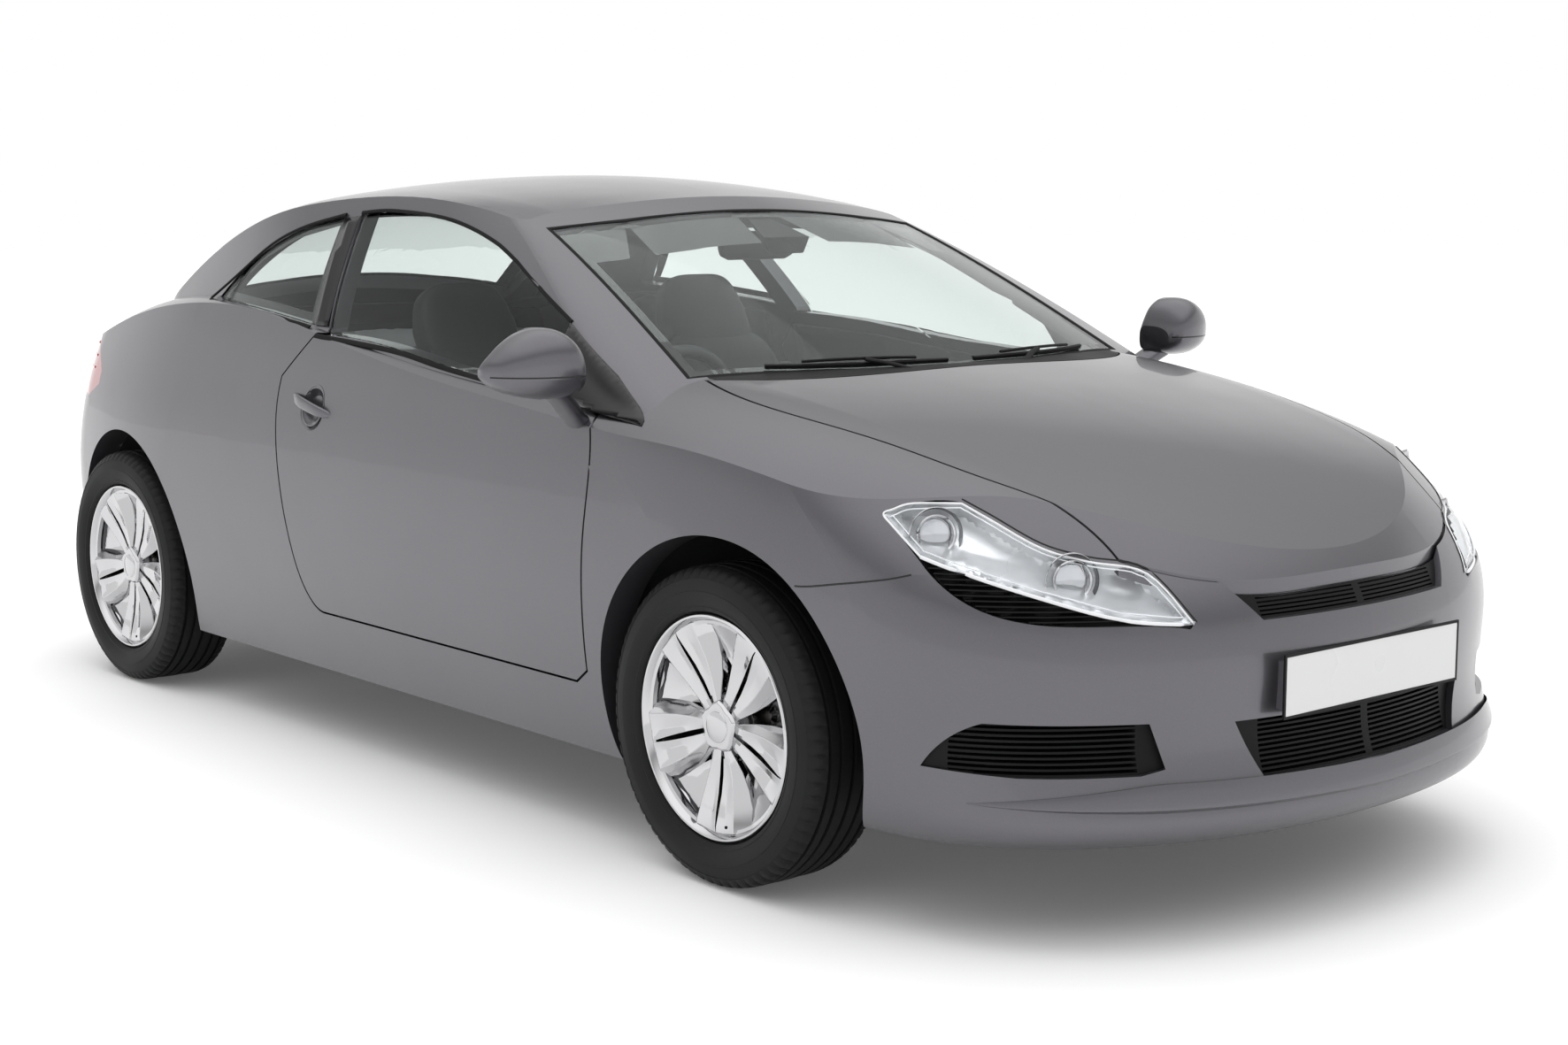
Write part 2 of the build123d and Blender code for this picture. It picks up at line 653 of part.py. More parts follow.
def body_panels():
    """Every piece that is cut from the body's skin. Left pieces are mirrored to the right."""
    outer = lower_form() + cabin_form()
    inner = lower_form(WALL, TOP_WALL, True) + cabin_form(FRAME_DEPTH)
    left_half = box_between((-LENGTH, 0, -CUT_OVERRUN), (LENGTH, 2 * HALF_WIDTH, 2 * HEIGHT))
    outer_left = outer & left_half
    rest = outer_left - inner
    for arch in arches(ARCH_CLEARANCE, ARCH_CLEARANCE, ARCH_SHIFT):
        rest -= arch
    glass = (cabin_form(GLASS_RECESS) - cabin_form(GLASS_RECESS + GLASS_THICKNESS)) & left_half
    left, middle = {}, {}

    middle["bonnet"] = (outer_left & plan_prism(BONNET_SHARES, BONNET_BASE)) - Pos(0, 0, -BONNET_DEPTH) * outer_left
    rest -= (plan_prism(BONNET_SHARES, BONNET_BASE - PANEL_GAP, PANEL_GAP)
             - Pos(0, 0, -BONNET_DEPTH - PANEL_GAP) * outer_left)

    bonnet_gap = (plan_prism(BONNET_SHARES, BONNET_BASE, PANEL_GAP)
                  - plan_prism(BONNET_SHARES, BONNET_BASE - PANEL_GAP, SEAT_CLEARANCE))
    bonnet_hinge = bonnet_gap & box_between((FIREWALL_X, BONNET_HINGE_Y - HINGE_WIDTH / 2, 0),
                                            (FRONT_AXLE_X, BONNET_HINGE_Y + HINGE_WIDTH / 2, HEIGHT))
    bonnet_hinge = (bonnet_hinge & Pos(0, 0, -HINGE_INSET / 2) * outer_left) - inner

    door = side_prism(DOOR_SHARES, 0, DOOR_SLANT)
    left["door"] = rest & door
    rest -= side_prism(DOOR_SHARES, PANEL_GAP, DOOR_SLANT)
    door_gap = side_prism(DOOR_SHARES, PANEL_GAP, DOOR_SLANT) - side_prism(DOOR_SHARES, SEAT_CLEARANCE, DOOR_SLANT)
    door_x = station_x(DOOR_SHARES[0][0][0])
    door_hinges = [door_gap & box_between(
        (door_x - HINGE_WIDTH, HALF_WIDTH - WALL + HINGE_INSET, share * HEIGHT - HINGE_HEIGHT / 2),
        (door_x + HINGE_WIDTH, HALF_WIDTH - HINGE_INSET, share * HEIGHT + HINGE_HEIGHT / 2)) for share in DOOR_HINGE_SHARES]
    left["door_glass"] = (glass & side_prism(DOOR_GLASS_SHARES)) - door
    rest -= side_prism(DOOR_GLASS_SHARES, PANEL_GAP)
    quarter = side_prism(QUARTER_GLASS_SHARES)
    left["quarter_window"] = glass & quarter
    rest -= quarter

    screen = plan_prism(WINDSCREEN_SHARES, BONNET_BASE)
    middle["windscreen"] = glass & screen
    rest -= screen

    middle["tailgate"] = rest & rear_prism(TAILGATE_SHARES)
    rest -= rear_prism(TAILGATE_SHARES, PANEL_GAP)
    lid_gap = rear_prism(TAILGATE_SHARES, PANEL_GAP) - rear_prism(TAILGATE_SHARES, SEAT_CLEARANCE)
    lid_x = station_x(ROOF_REAR_STATION)
    lid_hinge = lid_gap & box_between((lid_x, TAILGATE_HINGE_Y - HINGE_WIDTH / 2, 0),
                                      (lid_x + PANEL_GAP, TAILGATE_HINGE_Y + HINGE_WIDTH / 2, HEIGHT))
    lid_hinge = (lid_hinge & Pos(0, 0, -HINGE_INSET / 2) * outer_left) - inner
    rear_window = plan_prism(REAR_WINDOW_SHARES, BONNET_BASE)
    middle["tailgate_window"] = glass & rear_window
    middle["tailgate"] -= rear_window

    roof = plan_prism(ROOF_PANEL_SHARES, HEIGHT - TOP_WALL * ROOF_CUT_WALLS)
    middle["roof_panel"] = largest(rest & roof) + lid_hinge
    rest -= roof

    cowl = box_between((station_x(COWL_STATION), 0, FIREWALL_TOP), (station_x(1), COWL_SHARE * HALF_WIDTH, HEIGHT))
    middle["cowl_panel"] = largest(rest & cowl) + bonnet_hinge
    rest -= cowl

    lamp = corner_prism(LAMP_SHARES, LAMP_LENGTH, LAMP_HEIGHT, LAMP_STATION_SHARE, LAMP_Y_SHARE, LAMP_BASE_SHARE)
    lamp_grille = corner_prism(LAMP_GRILLE_SHARES, LAMP_LENGTH, LAMP_HEIGHT, LAMP_STATION_SHARE, LAMP_Y_SHARE,
                               LAMP_BASE_SHARE)
    block = largest(rest & lamp)
    rest -= lamp
    inset_form = Pos(-LAMP_GRILLE_INSET, -LAMP_GRILLE_INSET, 0) * lower_form()
    pitch = LAMP_HEIGHT / 2 / LAMP_BAR_COUNT
    ribs = [box_between((FRONT_AXLE_X, 0, LAMP_BASE_SHARE * HEIGHT + (i - 1) * pitch),
                        (NOSE_X, HALF_WIDTH, LAMP_BASE_SHARE * HEIGHT + (i - 1) * pitch + GRILLE_BAR))
            for i in range(LAMP_BAR_COUNT + 3)]
    left["headlamp"] = block - (lamp_grille - inset_form - ribs)
    tail_lamp = rear_prism(TAIL_LAMP_SHARES, 0, TAIL_LAMP_STATION)
    left["tail_lamp"] = rest & tail_lamp
    rest -= tail_lamp

    front = side_prism(BUMPER_SHARES)
    bumper = rest & front
    rest -= front
    intake = corner_prism(INTAKE_SHARES, INTAKE_LENGTH, INTAKE_HEIGHT, INTAKE_STATION_SHARE, INTAKE_Y_SHARE,
                          INTAKE_BASE_SHARE)
    left["side_intake"] = bars(bumper & intake, INTAKE_BASE_SHARE * HEIGHT, INTAKE_HEIGHT, INTAKE_BAR_COUNT,
                               (INTAKE_INNER_SHARE * HALF_WIDTH, INTAKE_OUTER_SHARE * HALF_WIDTH))
    bumper -= intake
    for name, top, base, half_top, half_base, count in (
            ("upper_grille", UPPER_GRILLE_TOP, UPPER_GRILLE_BASE, UPPER_GRILLE_HALF_TOP, UPPER_GRILLE_HALF_BASE,
             UPPER_BAR_COUNT),
            ("lower_grille", LOWER_GRILLE_TOP, LOWER_GRILLE_BASE, LOWER_GRILLE_HALF_TOP, LOWER_GRILLE_HALF_BASE,
             LOWER_BAR_COUNT)):
        opening = front_opening(top, base, half_top, half_base)
        middle[name] = bars(bumper & opening, base, top - base, count, (GRILLE_POST, half_base - GRILLE_POST))
        bumper -= opening
    middle["front_bumper"] = bumper
    rear = side_prism(REAR_BUMPER_SHARES)
    middle["rear_bumper"] = rest & rear
    rest -= rear

    wing = box_between((station_x(WING_SEAM_SHARE), 0, -CUT_OVERRUN), (LENGTH, 2 * HALF_WIDTH, 2 * HEIGHT))
    left["front_wing"] = largest(rest & wing) + door_hinges
    rest -= wing
    left["body_side"] = rest
    return left, middle


def front_opening(top, base, half_top, half_base):
    points = [(NOSE_X + CUT_OVERRUN, y, z) for y, z in
              ((0, base), (half_base, base), (half_top, top), (0, top))]
    return extrude(Face(Wire.make_polygon(points, close=True)), amount=LENGTH / 2, dir=(-1, 0, 0))


def bars(block, base, height, count, side_frame):
    """A grille: the block set back from the skin and slotted between level bars."""
    skin = lower_form()
    block = (largest(block) & Pos(-GRILLE_INSET, 0, 0) * skin) - Pos(-GRILLE_INSET - GRILLE_DEPTH, 0, 0) * skin
    pitch = (height - GRILLE_BAR) / count
    low, high = side_frame
    slots = [box_between((FRONT_AXLE_X, low, base + GRILLE_BAR + i * pitch),
                         (NOSE_X + CUT_OVERRUN, high, base + (i + 1) * pitch)) for i in range(count)]
    return block - slots


def inside(shape):
    """What of a shape lies within the outer panels and clear of the wheels' wells."""
    well_front, well_rear = arches(FRONT_WELL_CLEARANCE, ARCH_CLEARANCE, 0)
    shape -= [well_front, mirrored(well_front), well_rear, mirrored(well_rear)]
    return shape & lower_form(WALL + LINER_GAP, TOP_WALL + LINER_GAP, True)


def liner(well, skin):
    """Half tube over a wheel's well."""
    return (skin - well) & box_between((-LENGTH, 0, AXLE_Z), (LENGTH, HALF_WIDTH, HEIGHT))


def floor_pan():
    """Floor, tunnel, boot floor and rear wheel wells, inside the outer panels."""
    step_top, floor_top = REAR_FLOOR_Z + SHEET, FLOOR_Z + FLOOR_THICKNESS
    front_x = FIREWALL_X - SEAT_CLEARANCE
    shape = box_between((FLOOR_STEP_X, -HALF_WIDTH, FLOOR_Z), (front_x, HALF_WIDTH, floor_top)) + [
        box_between((FLOOR_STEP_X - SHEET, -HALF_WIDTH, FLOOR_Z), (FLOOR_STEP_X, HALF_WIDTH, step_top)),
        box_between((REAR_PANEL_X, -HALF_WIDTH, REAR_FLOOR_Z), (FLOOR_STEP_X, HALF_WIDTH, step_top)),
        box_between((REAR_PANEL_X - SHEET, -HALF_WIDTH, REAR_FLOOR_Z), (REAR_PANEL_X, HALF_WIDTH, REAR_PANEL_TOP)),
        box_between((FLOOR_STEP_X, -TUNNEL_WIDTH / 2, floor_top), (front_x, TUNNEL_WIDTH / 2, TUNNEL_TOP)),
    ]
    well, skin = arches(0, ARCH_CLEARANCE, 0)[1], arches(0, ARCH_CLEARANCE + SHEET, 0)[1]
    wall = Pos(0, -SHEET, 0) * (skin & box_between((-LENGTH, REAR_WELL_Y, AXLE_Z + WELL_INNER_RISE),
                                                   (0, REAR_WELL_Y + SHEET, HEIGHT)))
    shape += both(liner(well, skin) + wall)
    return inside(shape)


def front_bulkhead():
    """Bulkhead, front wheel liners, strut towers and lamp panel, inside the outer panels."""
    shape = box_between((FIREWALL_X, -HALF_WIDTH, FLOOR_Z), (FIREWALL_X + SHEET, HALF_WIDTH, FIREWALL_TOP))
    shape += box_between((FRONT_PANEL_X, -HALF_WIDTH, FLOOR_Z), (FRONT_PANEL_X + SHEET, HALF_WIDTH, FRONT_PANEL_TOP))
    well, skin = arches(FRONT_WELL_CLEARANCE, 0, 0)[0], arches(FRONT_WELL_CLEARANCE + SHEET, 0, 0)[0]
    cover = liner(well, skin) & box_between((LINER_REAR_X, 0, 0), (LENGTH, HALF_WIDTH, HEIGHT))
    wall = box_between((FIREWALL_X, FRONT_WELL_Y - SHEET, FLOOR_Z + RAIL_HEIGHT), (FRONT_PANEL_X, FRONT_WELL_Y, TOWER_Z))
    tower = Pos(FRONT_AXLE_X, UPPER_MOUNT_Y, TOWER_Z) * Cylinder(TOWER_RADIUS, SHEET)
    tower += box_between((FRONT_AXLE_X - TOWER_RADIUS, FRONT_WELL_Y - SHEET, TOWER_Z - SHEET / 2),
                         (FRONT_AXLE_X + TOWER_RADIUS, UPPER_MOUNT_Y, TOWER_Z + SHEET / 2))
    side = cover + wall + tower
    side -= steering_axis_cylinder(STRUT_RADIUS / 2 + SHAFT_CLEARANCE, TOWER_Z - SHEET, HEIGHT)
    side -= steering_axis_cylinder(STRUT_RADIUS + PANEL_GAP, AXLE_Z, TOWER_Z - SHEET)
    return inside(shape + both(side))


def steering_axis_cylinder(radius, low, high):
    """A cylinder along the left steering axis, between two heights."""
    lean = (UPPER_MOUNT_Y - LOWER_BALL_Y) / (TOWER_Z - LOWER_BALL_Z)
    start = (FRONT_AXLE_X, LOWER_BALL_Y + lean * (low - LOWER_BALL_Z), low)
    axis = Vector(0, lean, 1)
    length = (high - low) * axis.length
    plane = Plane(origin=start, x_dir=(1, 0, 0), z_dir=(0, lean, 1))
    return extrude(plane * Circle(radius), amount=length)


def knuckle():
    """Left front upright, with its spindle, strut, steering arm and brake caliper."""
    upright_low, upright_high = LOWER_BALL_Z + ARM_HEIGHT, AXLE_Z + UPRIGHT_WIDTH * 2
    x0, x1 = FRONT_AXLE_X - UPRIGHT_WIDTH / 2, FRONT_AXLE_X + UPRIGHT_WIDTH / 2
    shape = box_between((x0, UPRIGHT_Y - UPRIGHT_DEPTH / 2, upright_low), (x1, UPRIGHT_Y + UPRIGHT_DEPTH / 2, upright_high))
    shape += y_cylinder(SPINDLE_RADIUS, FRONT_AXLE_X, AXLE_Z, UPRIGHT_Y, WHEEL_Y + HUB_FACE)
    shape += steering_axis_cylinder(STRUT_RADIUS, upright_high - UPRIGHT_DEPTH, TOWER_Z - SHEET)
    shape += steering_axis_cylinder(STRUT_RADIUS / 2, TOWER_Z - SHEET, UPPER_SHAFT_HIGH)
    shape += steering_axis_cylinder(BALL_STUD_RADIUS, LOWER_BALL_Z - ARM_HEIGHT / 2, upright_low)
    shape += box_between((FRONT_AXLE_X - STEERING_ARM, UPRIGHT_Y - UPRIGHT_DEPTH / 2, AXLE_Z - ARM_HEIGHT),
                         (FRONT_AXLE_X, UPRIGHT_Y, AXLE_Z))
    return shape + caliper(FRONT_AXLE_X, UPRIGHT_Y)


def caliper(x, inner_y):
    """A brake caliper over the front of the disc, on an arm from the hub carrier."""
    disc_low = WHEEL_Y + DISC_OFFSET - DISC_THICKNESS / 2
    y0, y1 = disc_low - CALIPER_GAP - CALIPER_WALL, disc_low + DISC_THICKNESS + CALIPER_GAP + CALIPER_WALL
    inner_x, outer_x = x + DISC_RADIUS - CALIPER_REACH, x + DISC_RADIUS + CALIPER_GAP + CALIPER_WALL
    low, high = AXLE_Z - CALIPER_HEIGHT / 2, AXLE_Z + CALIPER_HEIGHT / 2
    block = box_between((inner_x, y0, low), (outer_x, y1, high))
    block -= y_cylinder(DISC_RADIUS + CALIPER_GAP, x, AXLE_Z, y0 + CALIPER_WALL, y1 - CALIPER_WALL)
    arm = box_between((x, inner_y, AXLE_Z - ARM_HEIGHT), (outer_x, y0 + CALIPER_WALL / 2, AXLE_Z + ARM_HEIGHT))
    return block + arm


def tyre(x):
    y1 = TYRE_WIDTH / 2
    bead, tread = BEAD_WIDTH / 2, TREAD_WIDTH / 2
    bulge_radius = (RIM_RADIUS + TYRE_RADIUS) / 2
    shoulder_radius = TYRE_RADIUS - TREAD_SHOULDER
    edge_radius = TYRE_RADIUS - TREAD_CROWN
    right = [(bead, RIM_RADIUS), (y1, bulge_radius), (tread + TREAD_SHOULDER / 2, shoulder_radius), (tread, edge_radius)]
    edges = [Line((-bead, BEAD_RADIUS), (bead, BEAD_RADIUS)),
             Line((bead, BEAD_RADIUS), (bead, RIM_RADIUS)),
             Spline(*right),
             ThreePointArc((tread, edge_radius), (0, TYRE_RADIUS), (-tread, edge_radius)),
             Spline(*[(-y, r) for y, r in right[::-1]]),
             Line((-bead, RIM_RADIUS), (-bead, BEAD_RADIUS))]
    return turned(edges, x)


def turned(edges, x):
    """A profile of (y from the wheel's middle, radius), turned about the left wheel's axle."""
    profile = Pos(0, 0, 0) * Face(Wire(edges))
    solid = revolve(profile, Axis.X, 360)
    return Pos(x, WHEEL_Y, AXLE_Z) * Rot(0, 0, 90) * solid


def rim(x):
    """A wheel with a deep barrel, five pairs of twisting blades and a hub."""
    outer = BEAD_WIDTH / 2 + BARREL_WALL
    inner = -outer
    barrel = [(inner, BEAD_RADIUS), (inner, RIM_RADIUS), (inner + BARREL_WALL, RIM_RADIUS),
              (inner + BARREL_WALL, BEAD_RADIUS), (outer - BARREL_WALL, BEAD_RADIUS), (outer - BARREL_WALL, RIM_RADIUS),
              (outer, RIM_RADIUS), (outer, BEAD_RADIUS - BARREL_WALL), (inner, BEAD_RADIUS - BARREL_WALL)]
    hub_front = HUB_FACE + BLADE_DEPTH
    hub = [(HUB_FACE, SPINDLE_RADIUS + SHAFT_CLEARANCE), (HUB_FACE, HUB_RADIUS), (hub_front, HUB_RADIUS),
           (hub_front + BARREL_WALL, HUB_CAP_RADIUS), (hub_front + BARREL_WALL, 0), (HUB_FACE + SHEET, 0),
           (HUB_FACE + SHEET, SPINDLE_RADIUS + SHAFT_CLEARANCE)]
    shape = turned(Wire.make_polygon([Vector(*p) for p in barrel], close=True).edges(), x)
    shape += turned(Wire.make_polygon([Vector(*p) for p in hub], close=True).edges(), x)
    blades = []
    for pair in range(BLADE_PAIRS):
        for side in (-1, 1):
            angle = 360 / BLADE_PAIRS * pair + side * BLADE_SPREAD
            blades.append(Pos(x, WHEEL_Y, AXLE_Z) * Rot(0, angle, 0) * blade(side))
    return shape + blades


def blade(side):
    """One broad blade with a ridge, twisting as it stands up from the hub."""
    root_z, tip_z = HUB_RADIUS - BARREL_WALL, BEAD_RADIUS - BARREL_WALL / 2
    front, tip_front = HUB_FACE + BLADE_DEPTH, BEAD_WIDTH / 2

    def section(z, width, y1, twist):
        left_y, right_y = y1 + side * twist, y1 - side * twist
        back = y1 - BLADE_DEPTH / 2
        return Wire.make_polygon([(-width / 2, back, z), (width / 2, back, z), (width / 2, right_y, z),
                                  (side * width / 6, y1 + BLADE_RIDGE, z), (-width / 2, left_y, z)], close=True)
    return Solid.make_loft([section(root_z, BLADE_ROOT_WIDTH, front, 0),
                            section((root_z + tip_z) / 2, BLADE_MIDDLE_WIDTH, (front + tip_front) / 2, BLADE_TWIST / 2),
                            section(tip_z, BLADE_TIP_WIDTH, tip_front - BLADE_RIDGE, BLADE_TWIST)], ruled=True)


def brake_disc(x):
    low, high = DISC_OFFSET - DISC_THICKNESS / 2, DISC_OFFSET + DISC_THICKNESS / 2
    bore = SPINDLE_RADIUS + SHAFT_CLEARANCE
    profile = [(low, bore), (low, DISC_RADIUS), (high, DISC_RADIUS), (high, HAT_RADIUS), (HUB_FACE, HAT_RADIUS), (HUB_FACE, bore)]
    return turned(Wire.make_polygon([Vector(*p) for p in profile], close=True).edges(), x)


def front_subframe():
    """Two rails with crossbeams, the lower arms out to the ball joints, and the rack."""
    front_x, rear_x = FRONT_PANEL_X, FIREWALL_X + SHEET
    z0, z1 = RAIL_Z - RAIL_HEIGHT / 2, RAIL_Z + RAIL_HEIGHT / 2
    arm_x = FRONT_AXLE_X
    rail = box_between((rear_x, RAIL_Y - RAIL_WIDTH / 2, z0), (front_x, RAIL_Y + RAIL_WIDTH / 2, z1))
    arm = box_between((arm_x - ARM_WIDTH / 2, RAIL_Y, LOWER_BALL_Z - ARM_HEIGHT / 2),
                      (arm_x + ARM_WIDTH / 2, LOWER_BALL_Y, LOWER_BALL_Z + ARM_HEIGHT / 2))
    arm += Pos(arm_x, LOWER_BALL_Y, LOWER_BALL_Z) * Cylinder(ARM_WIDTH / 2, ARM_HEIGHT)
    arm += box_between((arm_x - ARM_WIDTH / 2, RAIL_Y - RAIL_WIDTH / 2, LOWER_BALL_Z - ARM_HEIGHT / 2),
                       (arm_x + ARM_WIDTH / 2, RAIL_Y + RAIL_WIDTH / 2, z0))
    arm -= steering_axis_cylinder(BALL_STUD_RADIUS + SHAFT_CLEARANCE, 0, AXLE_Z)
    shape = rail + arm
    shape += mirrored(shape)
    for x in (ENGINE_X - ENGINE_LENGTH / 2, ENGINE_X + ENGINE_LENGTH / 2):
        shape += box_between((x - CROSSBEAM_DEPTH / 2, -RAIL_Y, z0), (x + CROSSBEAM_DEPTH / 2, RAIL_Y, z1))
    return shape


def engine_block():
    base = RAIL_Z + RAIL_HEIGHT / 2
    block = box_between((ENGINE_X - ENGINE_LENGTH / 2, -ENGINE_WIDTH / 2, base),
                        (ENGINE_X + ENGINE_LENGTH / 2, ENGINE_WIDTH / 2, base + ENGINE_HEIGHT))
    return fillet(block.edges().filter_by(Axis.Z), RAIL_WIDTH / 2)


def rear_axle():
    """A beam with trailing arms, spindles and brackets up to the floor step."""
    half = BEAM_SECTION / 2
    shape = box_between((REAR_AXLE_X - half, -BEAM_HALF_WIDTH, AXLE_Z - BEAM_SECTION), (REAR_AXLE_X + half, BEAM_HALF_WIDTH, AXLE_Z))
    for side in (1, -1):
        y0, y1 = TRAILING_ARM_Y - TRAILING_ARM_WIDTH / 2, TRAILING_ARM_Y + TRAILING_ARM_WIDTH / 2
        arm = box_between((REAR_AXLE_X, y0, AXLE_Z - BEAM_SECTION), (FLOOR_STEP_X - SHEET, y1, AXLE_Z - BEAM_SECTION / 4))
        upright = box_between((REAR_AXLE_X - half, BEAM_HALF_WIDTH, AXLE_Z - BEAM_SECTION), (REAR_AXLE_X + half, UPRIGHT_Y, AXLE_Z + SPINDLE_RADIUS))
        spindle = y_cylinder(SPINDLE_RADIUS, REAR_AXLE_X, AXLE_Z, BEAM_HALF_WIDTH, WHEEL_Y + HUB_FACE)
        piece = arm + upright + spindle + caliper(REAR_AXLE_X, UPRIGHT_Y - BARREL_WALL)
        shape += piece if side > 0 else mirrored(piece)
    return shape


def exhaust():
    """A pipe from the front of the floor to a silencer behind the rear axle, on hangers."""
    z = FLOOR_Z - PIPE_DROP
    front = FIREWALL_X - TUNNEL_WIDTH / 2
    pipe = Pos((front + MUFFLER_X) / 2, PIPE_Y, z) * Rot(0, 90, 0) * Cylinder(PIPE_RADIUS, front - MUFFLER_X)
    box = box_between((MUFFLER_X - MUFFLER_LENGTH, PIPE_Y - MUFFLER_WIDTH / 2, z),
                      (MUFFLER_X, PIPE_Y + MUFFLER_WIDTH / 2, z + MUFFLER_HEIGHT))
    box = fillet(box.edges().filter_by(Axis.X), PIPE_RADIUS)
    shape = pipe + box
    for x, top in ((front - TUNNEL_WIDTH, FLOOR_Z), (FLOOR_STEP_X + TUNNEL_WIDTH, FLOOR_Z), (MUFFLER_X - MUFFLER_LENGTH / 2, REAR_FLOOR_Z)):
        shape += box_between((x - SHEET, PIPE_Y - SHEET, z), (x + SHEET, PIPE_Y + SHEET, top))
    return shape


def front_seat(y):
    """A bucket seat: cushion, leaning back and headrest, on a plinth."""
    base = FLOOR_Z + FLOOR_THICKNESS
    x0, x1 = SEAT_FRONT_X - CUSHION_LENGTH, SEAT_FRONT_X
    cushion = box_between((x0, y - SEAT_WIDTH / 2, CUSHION_Z), (x1, y + SEAT_WIDTH / 2, CUSHION_Z + CUSHION_DEPTH))
    cushion = fillet(cushion.edges().filter_by(Axis.X) + cushion.edges().filter_by(Axis.Y), CUSHION_DEPTH * SOFT_SHARE)
    plinth = box_between((x0 + CUSHION_DEPTH, y - SEAT_WIDTH / 3, base), (x1 - CUSHION_DEPTH, y + SEAT_WIDTH / 3, CUSHION_Z + SHEET))
    back = box_between((-BACK_DEPTH, -SEAT_WIDTH / 2, 0), (0, SEAT_WIDTH / 2, BACK_HEIGHT))
    head = box_between((-BACK_DEPTH, -HEADREST_WIDTH / 2, BACK_HEIGHT - SHEET), (-SHEET, HEADREST_WIDTH / 2, BACK_HEIGHT + HEADREST_HEIGHT))
    back = fillet(back.edges(), BACK_DEPTH * SOFT_SHARE) + fillet(head.edges(), BACK_DEPTH * SOFT_SHARE)
    back = Pos(x0 + BACK_DEPTH, y, CUSHION_Z + CUSHION_DEPTH / 2) * Rot(0, -BACK_LEAN, 0) * back
    return cushion + plinth + back


def rear_bench():
    base = REAR_FLOOR_Z + SHEET
    x1 = FLOOR_STEP_X
    cushion = box_between((x1 - BENCH_DEPTH, -BENCH_WIDTH / 2, base), (x1, BENCH_WIDTH / 2, base + BENCH_HEIGHT))
    back = Pos(x1 - BENCH_DEPTH + BACK_DEPTH, 0, base) * Rot(0, -BACK_LEAN, 0) * box_between(
        (-BACK_DEPTH, -BENCH_WIDTH / 2, BENCH_HEIGHT / 2), (0, BENCH_WIDTH / 2, BENCH_BACK_HEIGHT))
    cushion = fillet(cushion.edges().group_by(Axis.Z)[-1], BENCH_HEIGHT * SOFT_SHARE)
    return cushion + fillet(back.edges(), BACK_DEPTH * SOFT_SHARE)


def dashboard():
    """A moulded dashboard with a hood over the dials and the steering column's shroud."""
    front, rear = DASH_FRONT_X, FIREWALL_X
    depth, height = rear - front, DASH_TOP - DASH_BASE
    points = [(front + depth * x, DASH_BASE + height * z) for x, z in DASH_SECTION_SHARES]
    edges = [Line((rear, 0, DASH_TOP - height / 4), (rear, 0, DASH_BASE)), Line((rear, 0, DASH_BASE), (points[0][0], 0, points[0][1])),
             Spline(*[(x, 0, z) for x, z in points + [(rear, DASH_TOP - height / 4)]])]
    shape = Pos(0, DASH_HALF_WIDTH, 0) * extrude(Face(Wire(edges)), amount=2 * DASH_HALF_WIDTH, dir=(0, -1, 0))
    shroud = column_cylinder(SHROUD_RADIUS, SHROUD_START, SHROUD_LENGTH)
    shape += shroud
    return shape - column_cylinder(COLUMN_RADIUS + SHAFT_CLEARANCE, 0, SHROUD_START + COLUMN_DEPTH)


def column_cylinder(radius, start, length):
    """A cylinder along the steering column, from the wheel's middle towards the dashboard."""
    plane = Plane(origin=(STEERING_X, DRIVER_Y, STEERING_Z), x_dir=(0, 1, 0),
                  z_dir=(cos(radians(COLUMN_RAKE)), 0, -sin(radians(COLUMN_RAKE))))
    return extrude(plane.offset(start) * Circle(radius), amount=length)


def steering_wheel():
    """A three-spoke wheel on its column shaft."""
    plane = Plane(origin=(STEERING_X, DRIVER_Y, STEERING_Z), x_dir=(0, 1, 0),
                  z_dir=(cos(radians(COLUMN_RAKE)), 0, -sin(radians(COLUMN_RAKE))))
    shape = plane.location * Torus(STEERING_WHEEL_RADIUS - STEERING_GRIP_RADIUS, STEERING_GRIP_RADIUS)
    shape += plane.location * Cylinder(STEERING_WHEEL_RADIUS / 3, 3 * STEERING_GRIP_RADIUS)
    for angle in SPOKE_ANGLES:
        spoke = Rot(0, 0, angle) * Pos(STEERING_WHEEL_RADIUS / 2, 0, 0) * Box(
            STEERING_WHEEL_RADIUS - STEERING_GRIP_RADIUS, 2 * STEERING_GRIP_RADIUS, STEERING_GRIP_RADIUS)
        shape += plane.location * spoke
    return shape + column_cylinder(COLUMN_RADIUS, 0, SHROUD_START + COLUMN_DEPTH - SHEET)


def centre_console():
    base = TUNNEL_TOP
    block = box_between((CONSOLE_REAR_X, -CONSOLE_WIDTH / 2, base), (DASH_FRONT_X, CONSOLE_WIDTH / 2, CONSOLE_TOP))
    block = fillet(block.edges().group_by(Axis.Z)[-1], SHEET)
    knob = Pos(DASH_FRONT_X - CONSOLE_WIDTH, 0, CONSOLE_TOP)
    return block + knob * Cylinder(SHEET / 2, CONSOLE_WIDTH) + knob * Pos(0, 0, CONSOLE_WIDTH / 2) * Sphere(2 * SHEET)


